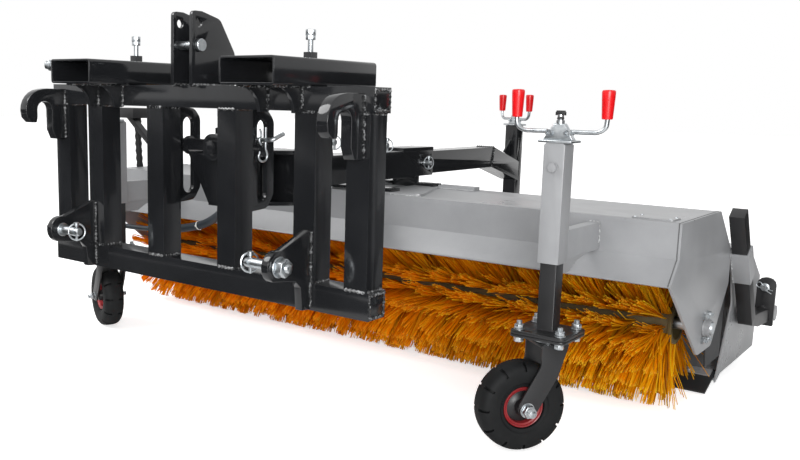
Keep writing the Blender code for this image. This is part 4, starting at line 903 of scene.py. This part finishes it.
# %% Pins with their rings
def ring(name, centre, axis, radius, wire=0.0023):
    """Round wire ring, turned about an axis through its centre."""
    turns = np.linspace(0, 2 * math.pi, 9)[:-1]
    section = [(wire * math.sin(a), radius + wire * math.cos(a)) for a in turns]
    return turned(name, section, centre, axis, 40, True)


for tag, s in (("right", 1), ("left", -1)):
    x, y, z = s * BRACKET_X, -1.205, 0.532
    pin = [(0, 0), (0, 0.0210), (0.0012, 0.0215), (0.0052, 0.0215), (0.0060, 0.0205), (0.0060, 0.0140),
           (0.0830, 0.0140), (0.0905, 0.0118), (0.0925, 0.0100), (0.0925, 0)]
    made = [turned("pin", pin, (x - s * 0.0125, y, z), (-s, 0, 0), 36),
            copy_to(kit["washer"], toward((x + s * 0.0123, y, z), (s, 0, 0), 1.85), "washer_copy"),
            copy_to(kit["nut"], toward((x + s * 0.0170, y, z), (s, 0, 0), 1.85, 0.35), "nut_copy"),
            threaded("end", 0.0260, 0.0115, 0.0025, 24)]
    made[-1].data.transform(toward((x + s * 0.0255, y, z), (s, 0, 0)))
    mount(join(made, "link_pin_made_" + tag), "link_pin_" + tag, zinc)
    x = s * 0.382
    lynch = [(0, 0), (0, 0.0030), (0.0050, 0.0050), (0.0480, 0.0050), (0.0490, 0.0088), (0.0600, 0.0088),
             (0.0610, 0.0070), (0.0610, 0)]
    made = [turned("lynch", lynch, (x, y, z - 0.0300), (0, 0, 1), 24),
            ring("ring", (x - s * 0.002, y, z), (0.90, -0.42, 0.10), 0.0262, 0.0027)]
    mount(join(made, "lynch_pin_made_" + tag), "lynch_pin_" + tag, zinc)
    x, y, z = s * POCKET_X, -0.9563, 1.0783
    shank = [(0, 0), (0, 0.0068), (0.0012, 0.0079), (0.0740, 0.0079), (0.0740, 0.0150), (0.0765, 0.0150),
             (0.0765, 0)]
    made = [turned("shank", shank, (x, y, z - 0.0053), (0, 0, 1), 28),
            copy_to(kit["nut"], toward((x, y, z + 0.0555), (0, 0, 1), 1.02, 0.2), "nut_copy"),
            copy_to(kit["nut"], toward((x, y, z + 0.0712), (0, 0, 1), 1.06, 0.2), "nut_copy")]
    mount(join(made, "clamp_bolt_made_" + tag), "clamp_bolt_" + tag, zinc)

pin = [(0, 0), (0, 0.0170), (0.0015, 0.0185), (0.0115, 0.0185), (0.0130, 0.0170), (0.0130, 0.0125),
       (0.1180, 0.0125), (0.1265, 0.0100), (0.1285, 0.0080), (0.1285, 0)]
made = turned("top_link_pin_made", pin, (0.0592, -1.071, 1.120), (-1, 0, 0), 36)
mount(made, "top_link_pin", zinc)

pin = [(0, 0), (0, 0.0150), (0.0012, 0.0160), (0.0085, 0.0160), (0.0098, 0.0150), (0.0098, 0.0100),
       (0.1440, 0.0100), (0.1510, 0.0078), (0.1520, 0.0060), (0.1520, 0)]
lynch = [(0, 0), (0, 0.0028), (0.004, 0.0042), (0.042, 0.0042), (0.043, 0.0075), (0.053, 0.0075),
         (0.054, 0.0060), (0.054, 0)]
made = [turned("pin", pin, (0.0160, 0.060, 0.730), (1, 0, 0), 32),
        turned("lynch", lynch, (0.1560, 0.060, 0.704), (0, 0, 1), 20),
        ring("ring", (0.1560, 0.060, 0.730), (0.94, -0.34, 0), 0.0240)]
mount(join(made, "arm_pin_made"), "arm_pin", zinc)

lugs, pegs = [], []
for y, z in ((-0.222, 0.806), (-0.540, 0.826)):
    lug = block("lug", (0.112, y - 0.026, 0.7785), (0.124, y + 0.026, z + 0.024))
    bpy.ops.object.mode_set(mode="EDIT")
    pick(lug, lambda face: face.normal.z > 0.9)
    bpy.ops.transform.resize(value=(1, 0.62, 1), center_override=(0.118, y, z + 0.024))
    bpy.ops.object.mode_set(mode="OBJECT")
    lugs.append(bevel(lug, 0.0018, 3))
    peg = [(0, 0), (0, 0.0130), (0.0015, 0.0150), (0.0090, 0.0150), (0.0100, 0.0110), (0.0520, 0.0110),
           (0.0560, 0.0090), (0.0565, 0)]
    pegs += [turned("peg", peg, (0.0960, y, z), (1, 0, 0), 28),
             ring("ring", (0.1490, y, z), (0.90, -0.42, 0.08), 0.0235),
             turned("lynch", lynch, (0.1480, y, z - 0.0260), (0, 0, 1), 20)]
mount(join(lugs, "beam_lugs"), "centre_beam", black_enamel, False)
mount(join(pegs, "beam_pegs"), "centre_beam", zinc, False)

coupler = [(-0.0060, 0), (-0.0060, 0.0070), (0, 0.0070), (0, 0.0100), (0.0080, 0.0100), (0.0090, 0.0125),
           (0.0140, 0.0125), (0.0150, 0.0110), (0.0190, 0.0110), (0.0200, 0.0125), (0.0250, 0.0125),
           (0.0260, 0.0095), (0.0330, 0.0095), (0.0345, 0.0080), (0.0345, 0.0055), (0.0200, 0.0050),
           (0.0200, 0)]
coupler = [(d * 1.4, r * 1.4) for d, r in coupler]
eye = [(0, 0.0050), (0, 0.0100), (0.006, 0.0100), (0.006, 0.0050)]
made = [turned("coupler", coupler, (-0.4830, -1.1800, 1.0570), (-0.86, -0.50, 0.10), 32),
        ring("ring", (-0.5150, -1.1960, 1.0620), (0.55, -0.80, 0.2), 0.0135, 0.0020),
        turned("coupler_eye", eye, (-0.4930, -1.1580, 1.0720), (-1, 0, 0), 24, True)]
mount(join(made, "pocket_coupler"), "fork_pocket_left", zinc, False)
print("pins made")

# %% [markdown]
# In the right slotted guide a loose pin stops the cross tube from rising. It is a bent bar with
# a hairpin clip that hangs from it. The clip is one wire: a straight leg, a round loop and a
# waved leg, swept along its line. Two smaller clips hold the latch pins of the collecting box.

# %% Limit pins and clips
def clip(name, place, matrix):
    """Spring clip: drawn flat in XZ, then stood up by a matrix."""
    line = [(0.0260, 0, -0.0035), (0.0100, 0, -0.0035), (-0.0040, 0, -0.0035), (-0.0170, 0, -0.0060),
            (-0.0230, 0, 0.0010), (-0.0180, 0, 0.0080), (-0.0090, 0, 0.0060), (-0.0010, 0, 0.0030),
            (0.0070, 0, 0.0075), (0.0150, 0, 0.0040), (0.0240, 0, 0.0065)]
    wire = swept(name, line, 0.0016, 2, 5)
    wire.data.transform(Matrix.Translation(place) @ matrix)
    return wire


x = RIGHT_GUIDE
bent = [(x - 0.038, -0.938, 0.8455), (x, -0.938, 0.8455), (x + 0.034, -0.938, 0.8455),
        (x + 0.050, -0.934, 0.8480), (x + 0.056, -0.920, 0.8560), (x + 0.056, -0.896, 0.8640)]
bar = swept("limit_pin", bent, 0.0066, 4, 8)
hang = (Matrix.Rotation(math.radians(75), 4, "Z") @ Matrix.Rotation(math.radians(-90), 4, "Y")
        @ Matrix.Scale(2.10, 4))
stop = join([bar, clip("clip", (x + 0.0205, -0.9451, 0.8290), hang)], "limit_pins")
mount(stop, "coupling_frame", zinc, False)
disc = [(0, 0), (0, 0.0165), (0.0012, 0.0180), (0.0060, 0.0180), (0.0072, 0.0165), (0.0078, 0)]
tube_end = turned("tube_end", disc, (0.1790, -0.938, 0.815), (1, 0, 0), 36)
mount(tube_end, "roll_beam", zinc, False)
made = []
tilt = Matrix.Rotation(0.5, 4, "Y") @ Matrix.Scale(1.30, 4)
stub = [(0, 0), (0, 0.0088), (0.0012, 0.0100), (0.0170, 0.0100), (0.0190, 0.0160), (0.0205, 0.0160),
        (0.0205, 0)]
for s in (-1, 1):
    made.append(clip("clip", (s * 1.2735, 0.6840, 0.2970), tilt))
    made.append(turned("latch_pin", stub, (s * 1.2735, 0.6795, 0.2970), (0, 1, 0), 32))
mount(join(made, "latch_clips"), "box_carrier_right", zinc, False)
print("clips made")

# %% [markdown]
# The brush core is a tube with a collar at each end and a shaft set back inside it, so it is
# turned from one section; its dark olive brown is painted shade. On the right the bearing sits
# inside the end plate: outside only its ring and four bolts show. The left end carries the motor,
# a cast body with ribs between a square flange on its corner and an end cap, and two ports for the hoses.

# %% Bearing and motor
def flange(name, x, side):
    """Square flange on its corner, from a cube turned 45 degrees, corners rounded."""
    plate = block(name, (x, -0.0370, AXIS_HEIGHT - 0.0370), (x + side * 0.0098, 0.0370, AXIS_HEIGHT + 0.0370))
    alone(plate)
    bpy.ops.object.mode_set(mode="EDIT")
    bpy.ops.mesh.select_all(action="SELECT")
    bpy.ops.mesh.normals_make_consistent(inside=False)
    bpy.ops.transform.rotate(value=math.radians(45), orient_axis="X", center_override=(x, 0, AXIS_HEIGHT))
    bpy.ops.mesh.select_mode(type="EDGE")
    bpy.ops.mesh.select_all(action="DESELECT")
    bpy.ops.object.mode_set(mode="OBJECT")
    for edge in plate.data.edges:
        a, b = (plate.data.vertices[v].co for v in edge.vertices)
        edge.select = abs(a.x - b.x) > 0.005
    bpy.ops.object.mode_set(mode="EDIT")
    bpy.ops.mesh.bevel(offset=0.012, segments=5)
    bpy.ops.object.mode_set(mode="OBJECT")
    return bevel(plate, 0.0012, 2)


PORT_X = -1.3403         # both hose ports stand on the motor body's outer end
core_end = [(1.1480, 0.0605), (1.1500, 0.0690), (1.1530, 0.0705), (1.1600, 0.0705), (1.1620, 0.0690),
            (1.1620, 0.0560), (1.1300, 0.0545), (1.1300, 0.0200), (1.2690, 0.0200), (1.2720, 0.0180),
            (1.2720, 0)]
section = [(-d, r) for d, r in core_end[::-1]] + core_end
core = turned("brush_core_made", section, (0, 0, AXIS_HEIGHT), (1, 0, 0), 64)
mount(core, "brush_core", core_shade_paint)
second_finish(core, zinc, lambda c: abs(c.x) > 1.1640)
section = [(0, 0.0212), (0, 0.0300), (0.0030, 0.0290), (0.0040, 0.0272), (0.0190, 0.0268), (0.0205, 0.0255),
           (0.0205, 0.0230), (0.0170, 0.0212)]
housing = turned("bearing_made", section, (END_FACE, 0, AXIS_HEIGHT), (1, 0, 0), 48, True)
mount(housing, "brush_bearing_right", grey_coat)
body = [(0, 0.020), (0, 0.0360), (0.0210, 0.0360), (0.0220, 0.0430)]
for i in range(5):
    body += [(0.0300 + 0.011 * i, 0.0430), (0.0310 + 0.011 * i, 0.0400), (0.0350 + 0.011 * i, 0.0400),
             (0.0360 + 0.011 * i, 0.0430)]
body += [(0.1060, 0.0430), (0.1090, 0.0410), (0.1100, 0.0100), (0.1100, 0)]
made = [flange("motor_flange", -END_FACE, -1),
        turned("motor_body", body, (-1.2550, 0, AXIS_HEIGHT), (-1, 0, 0), 48)]
port = [(0, 0), (0, 0.0150), (0.0300, 0.0120), (0.0430, 0.0120), (0.0450, 0.0100), (0.0450, 0)]
for y in (-0.024, 0.024):
    made.append(turned("port", port, (PORT_X, y, 0.2930), (0, 0, 1), 28))
mount(join(made, "motor_made"), "brush_motor_left", black_satin)
print("bearing and motor made")

# %% [markdown]
# The hoses are swept along smooth lines through the same points as the solids' hoses. The rear
# one wears a spiral guard, so its outline is wavy. Each end has a hexagon fitting, and a white
# nylon tie closes the protective sleeve that the front hose wears in the middle.

# %% Hoses
TIE_PLACE = (-0.633, -0.424, 0.448)
front_line = [(-0.094, -0.703, 0.715), (-0.130, -0.703, 0.711), (-0.190, -0.678, 0.690),
              (-0.310, -0.580, 0.625), (-0.430, -0.480, 0.545), (-0.546, -0.428, 0.483), TIE_PLACE,
              (-0.765, -0.424, 0.419), (-0.950, -0.430, 0.402), (-1.140, -0.425, 0.398),
              (-1.265, -0.372, 0.398), (PORT_X + 0.005, -0.260, 0.402), (PORT_X, -0.120, 0.412),
              (PORT_X, -0.052, 0.408), (PORT_X, -0.028, 0.385), (PORT_X, -0.024, 0.356)]
hose = swept("front_hose_made", even_line(front_line, 0.012, True), 0.0108, 5, 1)
mount(hose, "front_hose", hose_rubber)
sleeve = swept("hose_sleeve", even_line(front_line[3:8], 0.012, True), 0.0172, 5, 1)
mount(sleeve, "front_hose", hose_rubber, False)
x, y = -1.285, -0.192
rear_line = [(x, y, 0.8657), (x, y, 0.780), (x + 0.003, y + 0.004, 0.660), (x - 0.002, y + 0.020, 0.560),
             (x - 0.020, -0.120, 0.480), (PORT_X, -0.030, 0.452), (PORT_X, 0.012, 0.432),
             (PORT_X, 0.024, 0.395), (PORT_X, 0.024, 0.358)]
guard = rippled("motor_hose_made", rear_line, 0.0165, 0.0170, 0.80, True, 4)
mount(guard, "motor_hose", guard_plastic)
fittings = []
ferrule = [(0, 0), (0, 0.0095), (0.004, 0.0135), (0.020, 0.0135), (0.022, 0.0118), (0.022, 0)]
for place, axis in (((-0.0665, -0.703, 0.715), (-1, 0, 0)), ((PORT_X, -0.024, 0.3385), (0, 0, 1)),
                    ((PORT_X, 0.024, 0.3385), (0, 0, 1))):
    fittings.append(copy_to(kit["nut"], toward(place, axis, 1.0, 0.2), "fitting_nut"))
    sleeve = turned("sleeve", ferrule, (0, 0, 0), (0, 0, 1), 28)
    sleeve.data.transform(toward(Vector(place) + Vector(axis) * 0.0125, axis))
    fittings.append(sleeve)
mount(join(fittings, "hose_fittings"), "front_hose", zinc, False)
way = (Vector(front_line[7]) - Vector(front_line[5])).normalized()
band = [(-0.0024, 0.0170), (-0.0024, 0.0188), (0.0024, 0.0188), (0.0024, 0.0170)]
tie = turned("cable_tie", band, TIE_PLACE, way, 24, True)
lock = block("tie_lock", (-0.6360, -0.4462, 0.4440), (-0.6300, -0.4402, 0.4520))
bevel(lock, 0.0008, 2)
mount(join([tie, lock], "cable_tie"), "front_hose", tie_nylon, False)
print("hoses made")

# %% [markdown]
# The brush is what the eye goes to first. Each strip holds tufts of flat plastic strands that
# stand straight out of the roller and fan open, so that from the side they fill a disc and
# from the front they form rows of streaks. We model one strand by hand: a thin three-sided
# bar, extruded once more. Then each tuft gets copies of it, turned, scaled and scattered by
# a seeded random generator, so that the brush comes out the same in every run. Strands that
# point down end on the ground, and those that point back end short of the hood's rear wall.

# %% One strand
FREE_REACH, CORE_RADIUS = 0.286, 0.0605
BRUSH_LEFT, BRUSH_RIGHT = -1.205, 1.150
STRIPS = 6
# Opening of a strip's rows and its turn about the axis, in radians.
ROW_FAN, STRIP_TURN = 0.84, -0.2374
# Gap between tips and ground; the hood's rear wall, from the axis, and its foot above the axis;
# and the inner face of the end plates.
TIP_GAP = 0.0045
WALL_INSIDE, WALL_FOOT = 0.246, 0.098
PLATE_INSIDE = 1.236


def one_strand():
    """A strand of length 1 along Z, 1 wide: a three-sided cylinder, its end extruded once more."""
    bpy.ops.object.select_all(action="DESELECT")
    bpy.ops.mesh.primitive_cylinder_add(vertices=3, radius=0.5, depth=0.5, location=(0, 0, 0.25))
    piece = settle(bpy.context.object, "strand")
    bpy.ops.object.mode_set(mode="EDIT")
    pick(piece, lambda face: face.normal.z > 0.9)
    bpy.ops.mesh.extrude_region_move(TRANSFORM_OT_translate={"value": (0, 0, 0.5)})
    bpy.ops.object.mode_set(mode="OBJECT")
    return piece


strand = one_strand()
shape = np.array([v.co for v in strand.data.vertices])
faces = [tuple(p.vertices) for p in strand.data.polygons]
print("strand", len(shape), "points", len(faces), "faces")

# %% Fill the strips with strands
def bristles(index, count=5200, width=0.0056, tufts=400, rows=4):
    """All strands of one strip: each tuft points along one of a few rows, and opens a little."""
    dice = np.random.default_rng(100 + index)
    # Which tuft each strand belongs to, where it stands and how far it leans along the brush.
    # A share of the strands at both ends is splayed outwards.
    tuft = dice.integers(0, tufts, count)
    x = BRUSH_LEFT + (BRUSH_RIGHT - BRUSH_LEFT) * (tuft + 0.5) / tufts + dice.normal(0, 0.0100, count)
    lean = dice.normal(0, 0.006, tufts)[tuft] + dice.normal(0, 0.0045, count)
    splayed = ((x > BRUSH_RIGHT - 0.04) & (dice.random(count) < 0.20)
               | (x < BRUSH_LEFT + 0.03) & (dice.random(count) < 0.60))
    lean = lean + np.sign(x) * splayed * (0.025 + 0.050 * dice.random(count))
    lean = np.clip(x + lean, -PLATE_INSIDE, PLATE_INSIDE) - x
    # The row gives the direction around the axis, with a little scatter for tuft and strand.
    row = (np.arange(tufts) * 3 + dice.integers(0, 2, tufts)) % rows
    fan = ((row[tuft] / (rows - 1) - 0.5) * ROW_FAN + dice.normal(0, 0.030, tufts)[tuft]
           + dice.normal(0, 0.034, count) + STRIP_TURN)
    # Uneven tips, a twist about its own length, a shade and a slight bow for every strand.
    end = np.abs(dice.normal(0, 0.0030, count)) + np.abs(dice.normal(0, 0.0035, tufts))[tuft]
    twist = dice.random(count) * 2 * math.pi
    shade = np.clip(dice.normal(0.5, 0.26, count) + dice.normal(0, 0.10, tufts)[tuft], 0, 1)
    bow = dice.normal(0, 0.0016, (count, 2))
    # The strand's own points: t runs from root to tip, u and v lie across it.
    t = shape[None, :, 2]
    cs, sn = np.cos(twist)[:, None], np.sin(twist)[:, None]
    wide = width * (1 - 0.30 * t)
    u = (shape[None, :, 0] * cs - shape[None, :, 1] * 0.6 * sn) * wide
    v = (shape[None, :, 0] * sn + shape[None, :, 1] * 0.6 * cs) * wide
    # Reach, cut short by the ground and by the hood's rear wall, then the points in space.
    root = CORE_RADIUS + 0.006
    heading = math.radians(360 / STRIPS) * (index - 1) + fan
    reach = np.minimum(FREE_REACH, (AXIS_HEIGHT - TIP_GAP) / np.maximum(-np.cos(heading), 0.1))
    to_wall = WALL_INSIDE / np.maximum(-np.sin(heading), 0.5)
    reach = np.where(to_wall * np.cos(heading) > WALL_FOOT, np.minimum(reach, to_wall), reach)
    r = root + (reach[:, None] - 0.0015 - end[:, None] - root) * t
    a = heading[:, None] - fan[:, None] * 0.28 * (1 - t) + (v + bow[:, :1] * np.sin(t * math.pi)) / r
    px = x[:, None] + u + lean[:, None] * t ** 1.2 + bow[:, 1:] * np.sin(t * math.pi)
    points = np.stack([px, -r * np.sin(a), AXIS_HEIGHT + r * np.cos(a)], axis=-1).reshape(-1, 3)
    n = len(shape)
    all_faces = [tuple(k + n * i for k in f) for i in range(count) for f in faces]
    mesh = bpy.data.meshes.new("bristles_%d" % index)
    mesh.from_pydata(points.tolist(), [], all_faces)
    for name, values in (("along", np.repeat(t, count, axis=0)),
                         ("shade", np.repeat(shade[:, None], n, axis=1))):
        mesh.attributes.new(name, "FLOAT", "POINT").data.foreach_set("value", values.ravel())
    piece = bpy.data.objects.new(mesh.name, mesh)
    bpy.context.scene.collection.objects.link(piece)
    return piece


for index in range(1, STRIPS + 1):
    mount(bristles(index), "bristle_strip_%d" % index, bristle_amber)
bpy.data.objects.remove(strand)
for piece in kit.values():
    bpy.data.objects.remove(piece)
print("strips filled")

# %% [markdown]
# Last comes the studio. The object stands on a pale floor under an even white sky. To the
# camera the floor adds a little light of its own, so that it fades to plain white and keeps
# only the soft shadow. Two wide lamps, one high at the left and one low in front, turn faces
# from light to dark. Three dark cards and two dark cloths around the object are seen only in
# reflections: glossy black enamel shows what stands around it, and with white on all sides
# it would look grey.

# %% Studio
def plain_cloud(name, low, high, scale):
    """A dull material with a faint cloud between two close greys; returns it and its shader."""
    made, shader = new_material(name, 0.9)
    spot = add_node(made, "TexCoord")
    cloud = add_node(made, "TexNoise", {"Scale": scale}, [("Vector", spot, "Object")])
    link(made, ramp(made, cloud, "Fac", [(0.0, low), (1.0, high)]), "Color", shader, "Base Color")
    return made, shader


def studio_floor():
    """A white floor that glows a little, to the camera only."""
    bpy.ops.object.select_all(action="DESELECT")
    bpy.ops.mesh.primitive_plane_add(size=60, location=(0, 0, 0))
    floor = bpy.context.object
    floor.name = "studio_floor"
    made, shader = plain_cloud("studio_white", "#f4f4f4", "#f8f8f8", 0.4)
    view = add_node(made, "LightPath")
    glow = add_node(made, "MapRange", {"To Min": 0.0, "To Max": 0.62}, [("Value", view, "Is Camera Ray")])
    link(made, glow, "Result", shader, "Emission Strength")
    shader.inputs["Emission Color"].default_value = (1, 1, 1, 1)
    wear(floor, made)


def dark_cards():
    """Upright cards that face the object, and cloths that lie on the floor."""
    dark = plain_cloud("dark_card_cloth", "#242424", "#2c2c2c", 40.0)[0]
    for name, place, width, height, turn in (
            ("dark_card_right", (5.2, 0.5, 0.70), 7.0, 1.38, 0),
            ("dark_card_back", (3.6, 4.4, 0.70), 5.5, 1.40, 0),
            ("dark_card_front", (-2.2, -3.9, 0.51), 5.0, 1.0, 0),
            ("dark_cloth_left", (-2.28, -2.05, 0.004), 5.2, 2.7, -31.6),
            ("dark_cloth_right", (4.3, 2.4, 0.004), 4.6, 6.0, 9.6)):
        upright = name.startswith("dark_card")
        bpy.ops.mesh.primitive_plane_add(size=1, location=place)
        card = bpy.context.object
        card.name = name
        card.scale = (width, height, 1)
        card.rotation_mode = "QUATERNION"
        card.rotation_quaternion = Quaternion((0, 0, 1), math.radians(turn))
        if upright:
            card.rotation_quaternion = (Vector((0, 0, place[2])) - card.location).to_track_quat("Z", "Y")
        card.visible_camera = card.visible_shadow = False
        card.visible_diffuse = upright
        wear(card, dark)


def white_sky():
    """Full white to the camera and in reflections, a little weaker as light."""
    world = bpy.data.worlds.new("sky")
    bpy.context.scene.world = world
    world.use_nodes = True
    view = add_node(world, "LightPath")
    most = add_node(world, "Math", links=[(0, view, "Is Camera Ray"), (1, view, "Is Glossy Ray")],
                    operation="MAXIMUM")
    strength = add_node(world, "MapRange", {"To Min": 0.72, "To Max": 1.0}, [("Value", most, 0)])
    back = world.node_tree.nodes["Background"]
    back.inputs["Color"].default_value = (1, 1, 1, 1)
    link(world, strength, "Result", back, "Strength")


def lamps():
    """Two round lamps, each with its place, width in metres and power in watts."""
    for place, size, power in (((-2.6, -3.4, 4.2), 3.0, 155), ((4.8, -6.4, 2.1), 3.4, 370)):
        bpy.ops.object.light_add(type="AREA", location=place)
        lamp = bpy.context.object
        lamp.data.shape, lamp.data.size = "DISK", size
        lamp.data.energy = power
        lamp.rotation_mode = "QUATERNION"
        lamp.rotation_quaternion = (Vector((0, -0.3, 0.4)) - lamp.location).to_track_quat("-Z", "Y")


studio_floor()
dark_cards()
white_sky()
lamps()
bpy.context.scene.view_settings.view_transform = "Standard"

# %% [markdown]
# At the end the view layer is updated once more. No bolt or strand may stick out of the part.

# %% Finish
bpy.context.view_layer.update()
